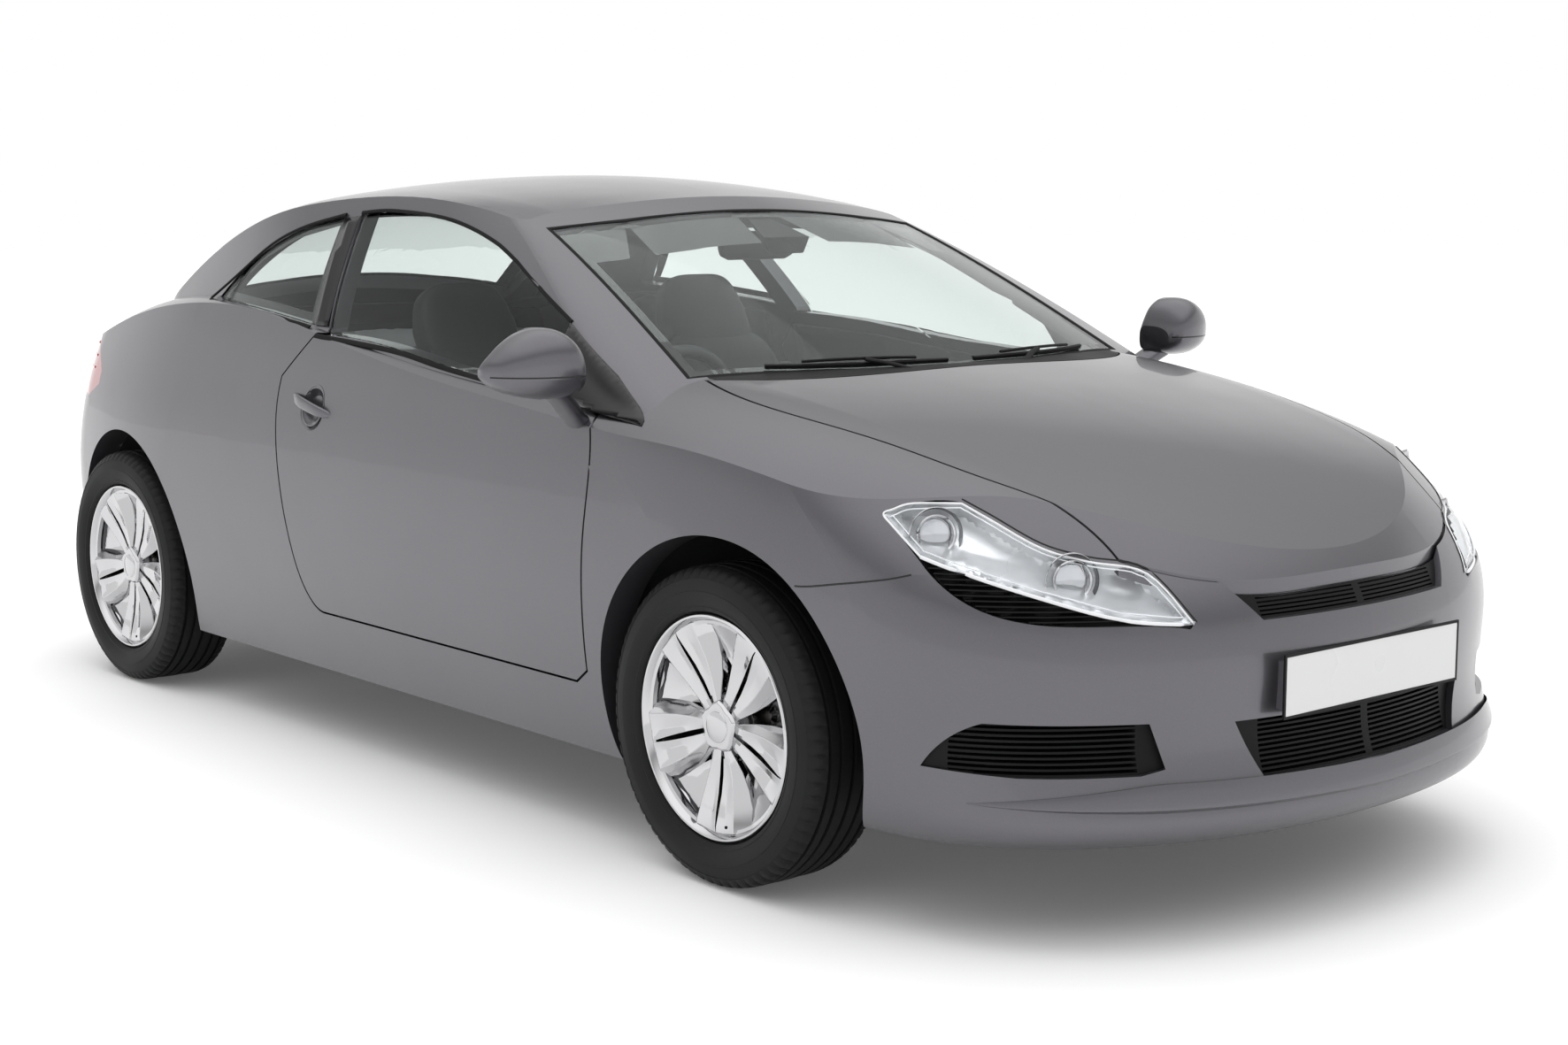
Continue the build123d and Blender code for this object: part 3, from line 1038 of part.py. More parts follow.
def door_mirror():
    """The left mirror: a rounded head with a flat rear face, on a stalk from the door."""
    sections = []
    for across, length, height, rise in MIRROR_SECTION_SHARES:
        size_x, size_z = length * MIRROR_LENGTH, height * MIRROR_HEIGHT
        plane = Plane(origin=(MIRROR_REAR_X + size_x / 2, MIRROR_INNER_Y + across * MIRROR_WIDTH,
                              MIRROR_Z + rise * MIRROR_HEIGHT), x_dir=(1, 0, 0), z_dir=(0, 1, 0))
        sections.append((plane * RectangleRounded(size_x, size_z, min(size_x, size_z) * MIRROR_ROUND_SHARE)).wire())
    head = Solid.make_loft(sections)
    foot = Plane(origin=(STALK_X, skin_y(STALK_Z) - WALL / 2, STALK_Z - WALL / 2 * STALK_RISE_SHARE), x_dir=(1, 0, 0),
                 z_dir=(0, 1, STALK_RISE_SHARE))
    tip = Plane(origin=(MIRROR_REAR_X + STALK_DEPTH, MIRROR_INNER_Y + MIRROR_WIDTH / 4, MIRROR_Z - MIRROR_HEIGHT / 4),
                x_dir=(1, 0, 0), z_dir=(0, 1, STALK_RISE_SHARE))
    stalk = Solid.make_loft([(foot * Rectangle(STALK_DEPTH, STALK_THICKNESS)).wire(),
                             (tip * Rectangle(STALK_DEPTH, STALK_THICKNESS)).wire()])
    return head + stalk


def skin_y(z):
    """Half width of the body's side at a height, between the axles."""
    rows = [(level * HEIGHT, (1 - side) * HALF_WIDTH) for level, _, side, _ in BODY_LEVEL_SHARES]
    for (z0, y0), (z1, y1) in zip(rows, rows[1:]):
        if z0 <= z <= z1:
            return y0 + (y1 - y0) * (z - z0) / (z1 - z0)
    return rows[-1][1]


def door_handle():
    x, z = station_x(HANDLE_STATION_SHARE), HANDLE_HEIGHT_SHARE * HEIGHT
    y = skin_y(z) + HANDLE_STANDOFF
    bar = Box(HANDLE_LENGTH, HANDLE_THICKNESS, HANDLE_THICKNESS * 1.5)
    bar = fillet(bar.edges().filter_by(Axis.Y), HANDLE_THICKNESS / 2)
    posts = [Pos(side * (HANDLE_LENGTH / 2 - HANDLE_THICKNESS), -HANDLE_STANDOFF / 2, 0) *
             Box(HANDLE_THICKNESS, HANDLE_STANDOFF + HANDLE_THICKNESS / 2, HANDLE_THICKNESS) for side in (-1, 1)]
    return Pos(x, y, z) * Rot(0, HANDLE_TILT, 0) * (bar + posts)


def handle_recess():
    """The round hollow in the door behind the handle."""
    x, z = station_x(HANDLE_STATION_SHARE), HANDLE_HEIGHT_SHARE * HEIGHT
    return Pos(x, skin_y(z) + RECESS_RADIUS - RECESS_DEPTH, z) * Sphere(RECESS_RADIUS)


def wiper():
    """A wiper blade that lies over the lower edge of the windscreen, on its arm's pivot."""
    lifted = cabin_form(-WIPER_THICKNESS) - cabin_form(GLASS_RECESS - SEAT_CLEARANCE)
    strip = plan_prism(WIPER_SHARES, FIREWALL_TOP)
    return largest(lifted & strip)


def plate(z, face_x, direction):
    return box_between((min(face_x, face_x + direction * PLATE_THICKNESS), -PLATE_WIDTH / 2, z - PLATE_HEIGHT / 2),
                       (max(face_x, face_x + direction * PLATE_THICKNESS), PLATE_WIDTH / 2, z + PLATE_HEIGHT / 2))


def save(name, shape):
    export_step(largest(shape), "parts/" + name + ".step")


if __name__ == "__main__":
    os.makedirs("parts", exist_ok=True)
    left, middle = body_panels()
    for name, piece in left.items():
        piece = largest(piece)
        left[name] = piece
    for name, piece in middle.items():
        middle[name] = both(largest(piece))

    skin_front = NOSE_X - BODY_LEVEL_SHARES[3][1] * FRONT_OVERHANG
    plinth = box_between((skin_front - WALL, -PLATE_WIDTH / 2 + SHEET, FRONT_PLATE_Z - PLATE_HEIGHT / 2 + SHEET),
                         (skin_front, PLATE_WIDTH / 2 - SHEET, FRONT_PLATE_Z + PLATE_HEIGHT / 2 - SHEET))
    middle["front_bumper"] += plinth
    middle["front_plate"] = plate(FRONT_PLATE_Z, skin_front, 1)
    middle["front_bumper"] -= middle["front_plate"]
    tail_plinth = box_between((TAIL_X, -PLATE_WIDTH / 2 + SHEET, REAR_PLATE_Z - PLATE_HEIGHT / 2 + SHEET),
                              (TAIL_X + WALL, PLATE_WIDTH / 2 - SHEET, REAR_PLATE_Z + PLATE_HEIGHT / 2 - SHEET))
    middle["rear_bumper"] += tail_plinth
    middle["rear_plate"] = plate(REAR_PLATE_Z, TAIL_X + PLATE_THICKNESS, -1)
    middle["rear_bumper"] -= middle["rear_plate"]

    left["door_mirror"] = door_mirror() - left["door"]
    left["door"] -= handle_recess()
    left["door_handle"] = door_handle() - left["door"]
    left["wiper"] = wiper()
    left["front_seat"] = front_seat(-DRIVER_Y)
    left["knuckle"] = knuckle()
    for name, piece in left.items():
        save(name + "_left", piece)
        save(name + "_right", mirrored(piece))
    for name, piece in middle.items():
        save(name, piece)
    for axle, x in (("front", FRONT_AXLE_X), ("rear", REAR_AXLE_X)):
        for name, build in (("tyre", tyre), ("rim", rim), ("brake_disc", brake_disc)):
            piece = build(x)
            save(name + "_" + axle + "_left", piece)
            save(name + "_" + axle + "_right", mirrored(piece))
    for build in (floor_pan, front_bulkhead, front_subframe, engine_block, rear_axle, exhaust, rear_bench, dashboard, steering_wheel, centre_console):
        save(build.__name__, build())
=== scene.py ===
from math import ceil, copysign, cos, exp, hypot, pi, radians, sin, sqrt

import bpy
import bmesh
from bpy.props import FloatProperty, FloatVectorProperty, IntProperty, PointerProperty
from bpy.types import Operator, Panel, PropertyGroup
from mathutils import Matrix, Vector
from mathutils.bvhtree import BVHTree
from mathutils.geometry import delaunay_2d_cdt


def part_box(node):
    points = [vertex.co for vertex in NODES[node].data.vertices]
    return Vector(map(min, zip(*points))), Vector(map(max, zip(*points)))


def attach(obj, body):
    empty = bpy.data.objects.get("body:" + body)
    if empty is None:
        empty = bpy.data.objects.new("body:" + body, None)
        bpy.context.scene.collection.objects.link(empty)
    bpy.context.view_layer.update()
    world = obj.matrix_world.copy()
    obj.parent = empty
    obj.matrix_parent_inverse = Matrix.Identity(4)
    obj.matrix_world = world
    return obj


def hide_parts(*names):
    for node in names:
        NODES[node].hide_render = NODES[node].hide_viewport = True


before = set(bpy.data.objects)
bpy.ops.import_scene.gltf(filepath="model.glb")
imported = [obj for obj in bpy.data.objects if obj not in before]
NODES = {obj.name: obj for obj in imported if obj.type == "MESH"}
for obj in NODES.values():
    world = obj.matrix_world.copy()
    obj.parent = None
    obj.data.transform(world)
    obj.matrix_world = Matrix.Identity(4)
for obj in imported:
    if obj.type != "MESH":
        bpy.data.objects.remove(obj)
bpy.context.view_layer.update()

bl_info = {
    "name": "Two-door coupe",
    "version": (1, 0, 0),
    "blender": (4, 5, 0),
    "location": "3D View > Sidebar > Coupe",
    "description": "Dresses the frame of a two-door coupe with its paint, wheels, lamps, glass and cabin",
    "category": "Object",
}

SIDES = {"left": 1, "right": -1}

HEIGHT = 1.342
HALF_WIDTH = 0.858
NOSE_X = 2.075
FRONT_OVERHANG = 0.915
WHEELBASE = 2.5
FRONT_AXLE_X = NOSE_X - FRONT_OVERHANG
REAR_AXLE_X = FRONT_AXLE_X - WHEELBASE
AXLE_Z = 0.308
WHEEL_Y = 0.7475
FAR = 3.0
CORE = 0.0001  # radius that stands for the axis in a lathe's profile
DIAGONAL = sqrt(0.5)
CORNERWARD = (DIAGONAL, DIAGONAL, 0)
SEAT_Y = 0.370
SEAT_LEAN = -24
STEERING_BOSS = (0.425, -SEAT_Y, 0.800)
STEERING_TILT = 22
PLATE_HALF_Y, PLATE_HALF_Z = 0.2595, 0.055
SHELF_Y = (-0.50, -0.25, 0, 0.25, 0.50)
CARD_LIFT, CARD_THICKNESS = 0.012, 0.008
CAMERA_PLACE, CAMERA_YAW, CAMERA_PITCH = (4.5511, -3.5573, 1.3249), 2.4331, 0.1429
SENSOR_WIDTH, VIEW_LIMIT = 36, 200
LIP_CENTRE_X, LIP_Z, LIP_HALF_ANGLE = 1.46, 0.264, 69
TAIL_INSIDE = (-1.15, 0, 0.70)
ROW_STEP, EDGE_CLEARANCE = 0.87, 0.45
FLOOR_HALF, FLOOR_WHITE, FLOOR_GLOW = 40, 0.97, 0.08
TOP_LIGHT_AIM, TOP_LIGHT_ANGLE = (0.25, -0.10, -1), 60
HORIZON_BAND, OVERHEAD_BAND = (0.28, 0.60), (0.40, 0.90)

# Outlines in stations along the car and shares of its height or half width
DOOR_TOP = ((1.622, 0.727), (1.482, 0.7125), (1.393, 0.6945), (1.246, 0.6705))
WINDOW_TOP = ((1.660, 0.9335), (1.603, 0.9375), (1.498, 0.9235), (1.400, 0.8845), (1.323, 0.8315),
              (1.243, 0.7745))
QUARTER_EDGE = ((1.6875, 0.929), (1.698, 0.9265), (1.763, 0.902), (1.813, 0.860), (1.869, 0.770),
                (1.852, 0.763), (1.734, 0.750), (1.640, 0.7345))
PILLAR_COVER = ((1.6115, 0.7385), (1.6395, 0.7395), (1.6880, 0.924), (1.6625, 0.928))
MIRROR_COVER = ((1.2440, 0.7755), (1.2250, 0.6690), (1.1900, 0.6640), (1.1640, 0.6520), (1.1010, 0.6390),
                (1.1050, 0.6470), (1.1590, 0.7030))
WINDSCREEN = ((1.352, 0), (1.356, 0.420), (1.372, 0.636), (1.124, 0.746), (1.095, 0.510), (1.070, 0.250),
              (1.062, 0))
REAR_WINDOW = ((1.862, 0), (1.864, 0.300), (1.872, 0.560), (2.190, 0.585), (2.225, 0.300), (2.235, 0))
DOOR_CARD = ((1.19, 0.35), (1.20, 0.27), (1.55, 0.27), (1.60, 0.36), (1.625, 0.56), (1.615, 0.70),
             (1.482, 0.690), (1.393, 0.672), (1.20, 0.640))
QUARTER_CARD = ((1.67, 0.36), (1.80, 0.56), (1.90, 0.60), (1.95, 0.70), (1.86, 0.745), (1.734, 0.735),
                (1.66, 0.722))
HEADLINER = ((1.362, 0), (1.366, 0.40), (1.395, 0.56), (1.80, 0.56), (1.835, 0.30), (1.835, 0))
# Headlamp in its own corner frame: shares of its length and height
LAMP_TOP = ((0, 0.89), (0.03, 0.93), (0.096, 0.985), (0.253, 1), (0.348, 0.87), (0.510, 0.648),
            (0.658, 0.538), (0.847, 0.427), (1, 0))
LAMP_EDGE = ((0.95, 0), (0.754, 0.065), (0.471, 0.276), (0.218, 0.477), (0.124, 0.56))
LAMP_BASE = ((0.985, -0.045), (0.760, -0.010), (0.562, 0.020), (0.410, 0.070), (0.303, 0.156), (0.202, 0.312),
             (0.124, 0.518))
LAMP_LENGTH, LAMP_HEIGHT = 0.541, 0.199
PROJECTORS = ((1.643, 0.709, 0.717), (1.837, 0.569, 0.645))


def station_x(station):
    if station <= 1:
        return NOSE_X - station * FRONT_OVERHANG
    if station <= 2:
        return FRONT_AXLE_X - (station - 1) * WHEELBASE
    return REAR_AXLE_X - (station - 2) * (REAR_AXLE_X + NOSE_X)


# Settings that a user would change

class CoupePaint(PropertyGroup):
    body: FloatVectorProperty(name="Body paint", description="Colour of the metallic paint", subtype="COLOR",
                              default=(0.128, 0.124, 0.137), min=0, max=1)
    trim: FloatVectorProperty(name="Trim", description="Colour of the black plastic", subtype="COLOR",
                              default=(0.006, 0.006, 0.0065), min=0, max=1)
    seats: FloatVectorProperty(name="Seats", description="Colour of the seat covers", subtype="COLOR",
                               default=(0.022, 0.023, 0.025), min=0, max=1)
    glass: FloatVectorProperty(name="Glass", description="Tint of the windows", subtype="COLOR",
                               default=(0.79, 0.835, 0.82), min=0, max=1)


class CoupeWheels(PropertyGroup):
    tyre_radius: FloatProperty(name="Tyre radius", description="Radius over the tread", unit="LENGTH",
                               default=0.308)
    tyre_width: FloatProperty(name="Tyre width", description="Width over the sidewalls", unit="LENGTH",
                              default=0.195)
    rim_radius: FloatProperty(name="Rim radius", description="Radius over the rim's flange", unit="LENGTH",
                              default=0.217)
    bead_width: FloatProperty(name="Rim width", description="Width between the flanges", unit="LENGTH",
                              default=0.152)
    blades: IntProperty(name="Blade pairs", description="Number of blade pairs in a wheel", default=5, min=3)
    tread_pitch: IntProperty(name="Tread blocks", description="Number of shoulder blocks round a tyre",
                             default=72)


class CoupeStage(PropertyGroup):
    focal: FloatProperty(name="Focal length", description="Camera's focal length in millimetres",
                         default=54.28)
    key: FloatProperty(name="Top light", description="Strength of the broad light from above", default=0.75)
    softbox: FloatProperty(name="Softbox", description="Strength of the soft light overhead", default=1.0)
    ambient: FloatProperty(name="Ambient", description="Strength of the soft light from all round",
                           default=0.42)


# Shared shader effects

def new_group(name, inputs, outputs):
    tree = bpy.data.node_groups.new(name, "ShaderNodeTree")
    for label, value in inputs:
        tree.interface.new_socket(label, in_out="INPUT", socket_type="NodeSocketFloat").default_value = value
    for label, kind in outputs:
        tree.interface.new_socket(label, in_out="OUTPUT", socket_type=kind)
    return tree, tree.nodes.new("NodeGroupInput"), tree.nodes.new("NodeGroupOutput")


def add_node(tree, kind, inputs=(), **settings):
    """A shader node whose inputs are constants or links."""
    node = tree.nodes.new(kind)
    for label, value in settings.items():
        setattr(node, label, value)
    for label, value in dict(inputs).items():
        if isinstance(value, bpy.types.NodeSocket):
            tree.links.new(value, node.inputs[label])
        else:
            node.inputs[label].default_value = value
    return node


def maths(tree, operation, first, second):
    return add_node(tree, "ShaderNodeMath", ((0, first), (1, second)), operation=operation).outputs["Value"]


def grain_group():
    """Fine noise: a height for a bump and a roughness that varies between two values."""
    tree, source, result = new_group("fine_grain", (("Scale", 400.0), ("Low", 0.3), ("High", 0.4)),
                                     (("Height", "NodeSocketFloat"), ("Roughness", "NodeSocketFloat")))
    place = add_node(tree, "ShaderNodeTexCoord").outputs["Object"]
    noise = add_node(tree, "ShaderNodeTexNoise",
                     {"Detail": 3, "Vector": place, "Scale": source.outputs["Scale"]})
    broad = add_node(tree, "ShaderNodeTexNoise", {"Scale": 3.5, "Vector": place})
    spread = add_node(tree, "ShaderNodeMapRange", {
        "From Min": 0.3, "From Max": 0.7, "Value": broad.outputs["Fac"], "To Min": source.outputs["Low"],
        "To Max": source.outputs["High"]})
    tree.links.new(noise.outputs["Fac"], result.inputs["Height"])
    tree.links.new(spread.outputs["Result"], result.inputs["Roughness"])
    return tree


def flake_group():
    """Metal flakes in paint: a mask of small cells."""
    tree, source, result = new_group("paint_flake", (("Scale", 2600.0),), (("Mask", "NodeSocketFloat"),))
    place = add_node(tree, "ShaderNodeTexCoord").outputs["Object"]
    cells = add_node(tree, "ShaderNodeTexVoronoi", {"Vector": place, "Scale": source.outputs["Scale"]})
    split = add_node(tree, "ShaderNodeSeparateColor", {"Color": cells.outputs["Color"]})
    tree.links.new(split.outputs["Red"], result.inputs["Mask"])
    return tree


def weave_group():
    """Crossed threads of a woven cover."""
    tree, source, result = new_group("woven_cover", (("Scale", 90.0),), (("Height", "NodeSocketFloat"),))
    place = add_node(tree, "ShaderNodeTexCoord").outputs["Object"]
    threads = [add_node(tree, "ShaderNodeTexWave", {"Vector": place, "Scale": source.outputs["Scale"]},
                        bands_direction=direction).outputs["Fac"] for direction in ("X", "Z")]
    tree.links.new(maths(tree, "MULTIPLY", *threads), result.inputs["Height"])
    return tree


GROUPS = {}
FINISHES = {}
COAT_ROUGHNESS = 0.03

# Finish and slot of the pieces that share both, and the body of the pieces on a door
PAINT = ("body_paint", "paint")
PLASTIC = ("black_plastic", "black_trim")
GLOSS = ("gloss_black", "black_trim")
RUBBER = ("rubber", "rubber_black")
DASH = ("dash_skin", "black_trim")
LINING = ("roof_lining", "seat_cloth")
# The lamp trim's finish glows faintly: a painted glow on the headlamp's edge lines, though no lamp is lit
SILVER = ("wheel_silver", "alloy")
GLOWING_LAMP_TRIM = ("lamp_white", "lamp_clear")
ON_DOOR = "door_{side}"


def finish(name, color, rough=(0.35, 0.45), metallic=0.0, coat=0.0, grain=400.0, bump=0.1, weave=0.0,
           flake=0.0, transmission=0.0, emission=0.0, sheen=0.0, depth=0.0004, ior=None, specular=0.5):
    """A procedural material: constants on the shader, and shared groups for what varies over the surface."""
    material = bpy.data.materials.new(name)
    material.use_nodes = True
    tree = material.node_tree
    shader = tree.nodes["Principled BSDF"]
    for label, value in (("Base Color", (*color, 1)), ("Metallic", metallic), ("Coat Weight", coat),
                         ("Coat Roughness", COAT_ROUGHNESS), ("Transmission Weight", transmission),
                         ("Sheen Weight", sheen), ("Specular IOR Level", specular)):
        shader.inputs[label].default_value = value
    if ior:
        shader.inputs["IOR"].default_value = ior
    if emission:
        shader.inputs["Emission Color"].default_value = (*color, 1)
        shader.inputs["Emission Strength"].default_value = emission
    if transmission:
        shader.inputs["Roughness"].default_value = rough[0]
    else:
        group = add_node(tree, "ShaderNodeGroup", {"Scale": grain, "Low": rough[0], "High": rough[1]},
                         node_tree=GROUPS["grain"])
        tree.links.new(group.outputs["Roughness"], shader.inputs["Roughness"])
        height = group.outputs["Height"]
        if weave:
            threads = add_node(tree, "ShaderNodeGroup", {"Scale": weave}, node_tree=GROUPS["weave"])
            height = threads.outputs["Height"]
        if bump:
            relief = add_node(tree, "ShaderNodeBump", {"Strength": bump, "Distance": depth, "Height": height})
            tree.links.new(relief.outputs["Normal"], shader.inputs["Normal"])
    if flake:
        flakes = add_node(tree, "ShaderNodeGroup", node_tree=GROUPS["flake"])
        ramp = add_node(tree, "ShaderNodeValToRGB", {"Fac": flakes.outputs["Mask"]})
        ramp.color_ramp.elements[0].color = (*[c * (1 - flake) for c in color], 1)
        ramp.color_ramp.elements[1].color = (*[min(1, c * (1 + flake)) for c in color], 1)
        tree.links.new(ramp.outputs["Color"], shader.inputs["Base Color"])
    FINISHES[name] = material
    return material


# Mesh helpers

def make(name, verts, faces, body, finish_name, slot, smooth=40.0):
    """A mesh piece that rides on a body. Edges sharper than the angle stay crisp."""
    mesh = bpy.data.meshes.new(name)
    mesh.from_pydata([tuple(v) for v in verts], [], faces)
    mesh.validate()
    bm = bmesh.new()
    bm.from_mesh(mesh)
    bmesh.ops.recalc_face_normals(bm, faces=bm.faces)
    bm.to_mesh(mesh)
    bm.free()
    piece = bpy.data.objects.new(name, mesh)
    bpy.context.scene.collection.objects.link(piece)
    if smooth:
        mesh.shade_smooth()
        mesh.set_sharp_from_angle(angle=radians(smooth))
    piece.data.materials.append(FINISHES[finish_name])
    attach(piece, body)
    return piece


def joined(parts):
    """Vertices and faces of several meshes in one."""
    verts, faces = [], []
    for more_verts, more_faces in parts:
        start = len(verts)
        verts += list(more_verts)
        faces += [tuple(i + start for i in face) for face in more_faces]
    return verts, faces


def flipped(mesh_data):
    verts, faces = mesh_data
    return [(x, -y, z) for x, y, z in verts], [face[::-1] for face in faces]


def grid(rows, count, closed=True, wrapped=False):
    """Faces between rows of points. Closed joins each row's ends, and wrapped the last row to the first."""
    return [(i * count + j, i * count + (j + 1) % count,
             (i + 1) % rows * count + (j + 1) % count, (i + 1) % rows * count + j)
            for i in range(rows if wrapped else rows - 1) for j in range(count if closed else count - 1)]


def around(count):
    """Cosine and sine of even steps round a circle."""
    return [(cos(2 * pi * k / count), sin(2 * pi * k / count)) for k in range(count)]


def about_axle(radius, turn, y):
    """A point at a radius from the Y axis, at an angle from straight up."""
    return radius * sin(turn), y, radius * cos(turn)


def rings(sections, closed=True, caps=True):
    """Skins a list of rings with the same number of points."""
    count = len(sections[0])
    verts = [tuple(p) for ring in sections for p in ring]
    faces = grid(len(sections), count, closed)
    if caps:
        faces.append(tuple(range(count))[::-1])
        faces.append(tuple(range(len(verts) - count, len(verts))))
    return verts, faces


def lathe(profile, segments):
    """Turns a closed profile of (y, radius) about the Y axis."""
    verts = [(r * c, y, r * s) for c, s in around(segments) for y, r in profile]
    return verts, grid(segments, len(profile), wrapped=True)


def moved(mesh_data, matrix):
    verts, faces = mesh_data
    return [tuple(matrix @ Vector(v)) for v in verts], faces


def skin(*names):
    """Search tree over the CAD nodes whose names start as given."""
    verts, faces = [], []
    for name, node in NODES.items():
        if any(name.startswith(start) for start in names):
            start = len(verts)
            verts += [v.co.copy() for v in node.data.vertices]
            faces += [tuple(i + start for i in p.vertices) for p in node.data.polygons]
    return BVHTree.FromPolygons(verts, faces)


def from_side(point):
    return Vector((station_x(point[0]), FAR, point[1] * HEIGHT)), Vector((0, -1, 0))


def from_inside(point):
    return Vector((station_x(point[0]), 0.3, point[1] * HEIGHT)), Vector((0, 1, 0))


def from_above(point):
    return Vector((station_x(point[0]), point[1] * HALF_WIDTH, FAR)), Vector((0, 0, -1))


def from_below(point):
    return Vector((station_x(point[0]), point[1] * HALF_WIDTH, 1.0)), Vector((0, 0, 1))


LAMP_START = (station_x(0.583) - 0.872 * HALF_WIDTH) * DIAGONAL


def from_corner(point):
    along = (LAMP_START + point[0] * LAMP_LENGTH) * DIAGONAL
    return (Vector((along + FAR, FAR - along, 0.4255 * HEIGHT + point[1] * LAMP_HEIGHT)),
            Vector((-DIAGONAL, -DIAGONAL, 0)))


def solved(rows, values):
    """Least squares by the normal equations."""
    size = len(rows[0])
    table = [[sum(r[i] * r[j] for r in rows) + (1e-9 if i == j else 0) for j in range(size)]
             + [sum(r[i] * v for r, v in zip(rows, values))] for i in range(size)]
    for i in range(size):
        pivot = max(range(i, size), key=lambda k: abs(table[k][i]))
        table[i], table[pivot] = table[pivot], table[i]
        for k in range(size):
            if k != i:
                factor = table[k][i] / table[i][i]
                table[k] = [a - factor * b for a, b in zip(table[k], table[i])]
    return [table[i][size] / table[i][i] for i in range(size)]


class FairSkin:
    """A cubic surface through the skin round an outline, which bridges its gaps and edges."""

    def __init__(self, tree, lift, outline, margin=0.06, reach=0.010):
        self.tree, self.lift, self.reach = tree, lift, reach
        xs, ys = [p[0] for p in outline], [p[1] for p in outline]
        sizes = plane_of(lift)
        self.middle = ((min(xs) + max(xs)) / 2, (min(ys) + max(ys)) / 2)
        self.half = ((max(xs) - min(xs)) / 2 + margin / sizes[0], (max(ys) - min(ys)) / 2 + margin / sizes[1])
        rows, depths = [], []
        for i in range(25):
            for j in range(25):
                point = [m + h * (k / 12 - 1) for m, h, k in zip(self.middle, self.half, (i, j))]
                origin, direction = lift(point)
                distance = tree.ray_cast(origin, direction)[3]
                if distance is not None:
                    rows.append(self.terms(point))
                    depths.append(distance)
        for limit in (0.03, 0.008, 0.004):
            self.weights = solved(rows, depths)
            kept = [(r, d) for r, d in zip(rows, depths)
                    if abs(sum(a * b for a, b in zip(self.weights, r)) - d) < limit]
            if len(kept) > 40:
                rows, depths = [list(column) for column in zip(*kept)]
        self.weights = solved(rows, depths)

    def terms(self, point):
        u, v = [(p - m) / h for p, m, h in zip(point, self.middle, self.half)]
        return [u ** i * v ** j for i in range(4) for j in range(4 - i)]

    def depth(self, point):
        fair = sum(a * b for a, b in zip(self.weights, self.terms(point)))
        origin, direction = self.lift(point)
        distance = self.tree.ray_cast(origin, direction)[3]
        if distance is not None and fair - self.reach < distance < fair:
            return distance
        return fair


def laid(tree, lift, point, offset=0.0):
    """A point on the skin, moved out of it by the offset."""
    origin, direction = lift(point)
    if isinstance(tree, FairSkin):
        return origin + direction * (tree.depth(point) - offset)
    place, normal, index, distance = tree.ray_cast(origin, direction)
    if place is None:
        place, normal, index, distance = tree.find_nearest(origin + direction * (FAR - 0.8))
    return place - direction * offset


def line_on(tree, lift, points, offset=0.0):
    return [tuple(laid(tree, lift, p, offset)) for p in points]


def eased(value, power):
    """A power that keeps the sign: it squares off a circle's sine or cosine."""
    return copysign(abs(value) ** power, value)


def plane_of(lift):
    """Flat coordinates, in metres, that a lift's outline spans."""
    zero, x, y = lift((1.5, 0))[0], lift((1.6, 0))[0], lift((1.5, 1))[0]
    return (x - zero).length / 0.1, (y - zero).length


def dense(outline, step, sizes=(1, 1), closed=True):
    points = []
    for i in range(len(outline) if closed else len(outline) - 1):
        (ax, ay), (bx, by) = outline[i], outline[(i + 1) % len(outline)]
        parts = max(1, ceil(hypot((bx - ax) * sizes[0], (by - ay) * sizes[1]) / step))
        points += [(ax + (bx - ax) * t / parts, ay + (by - ay) * t / parts) for t in range(parts)]
    if not closed:
        points.append(outline[-1])
    return points


def curve_through(points, parts=8):
    """A smooth line through points, as Catmull-Rom spans."""
    result = []
    for i in range(len(points) - 1):
        p0 = points[max(0, i - 1)]
        p1, p2 = points[i], points[i + 1]
        p3 = points[min(len(points) - 1, i + 2)]
        for k in range(parts):
            t = k / parts
            result.append(tuple(
                0.5 * (2 * b + (c - a) * t + (2 * a - 5 * b + 4 * c - d) * t * t
                       + (3 * b - a - 3 * c + d) * t ** 3)
                for a, b, c, d in zip(p0, p1, p2, p3)))
    result.append(tuple(points[-1]))
    return result


def is_inside(point, outline):
    x, y = point
    odd = False
    for i in range(len(outline)):
        (ax, ay), (bx, by) = outline[i - 1], outline[i]
        if (ay > y) != (by > y) and x < (bx - ax) * (y - ay) / (by - ay) + ax:
            odd = not odd
    return odd


def edge_distance(point, outline):
    x, y = point
    best = 1e9
    for i in range(len(outline)):
        (ax, ay), (bx, by) = outline[i - 1], outline[i]
        dx, dy = bx - ax, by - ay
        t = max(0, min(1, ((x - ax) * dx + (y - ay) * dy) / (dx * dx + dy * dy + 1e-12)))
        best = min(best, hypot(x - ax - t * dx, y - ay - t * dy))
    return best


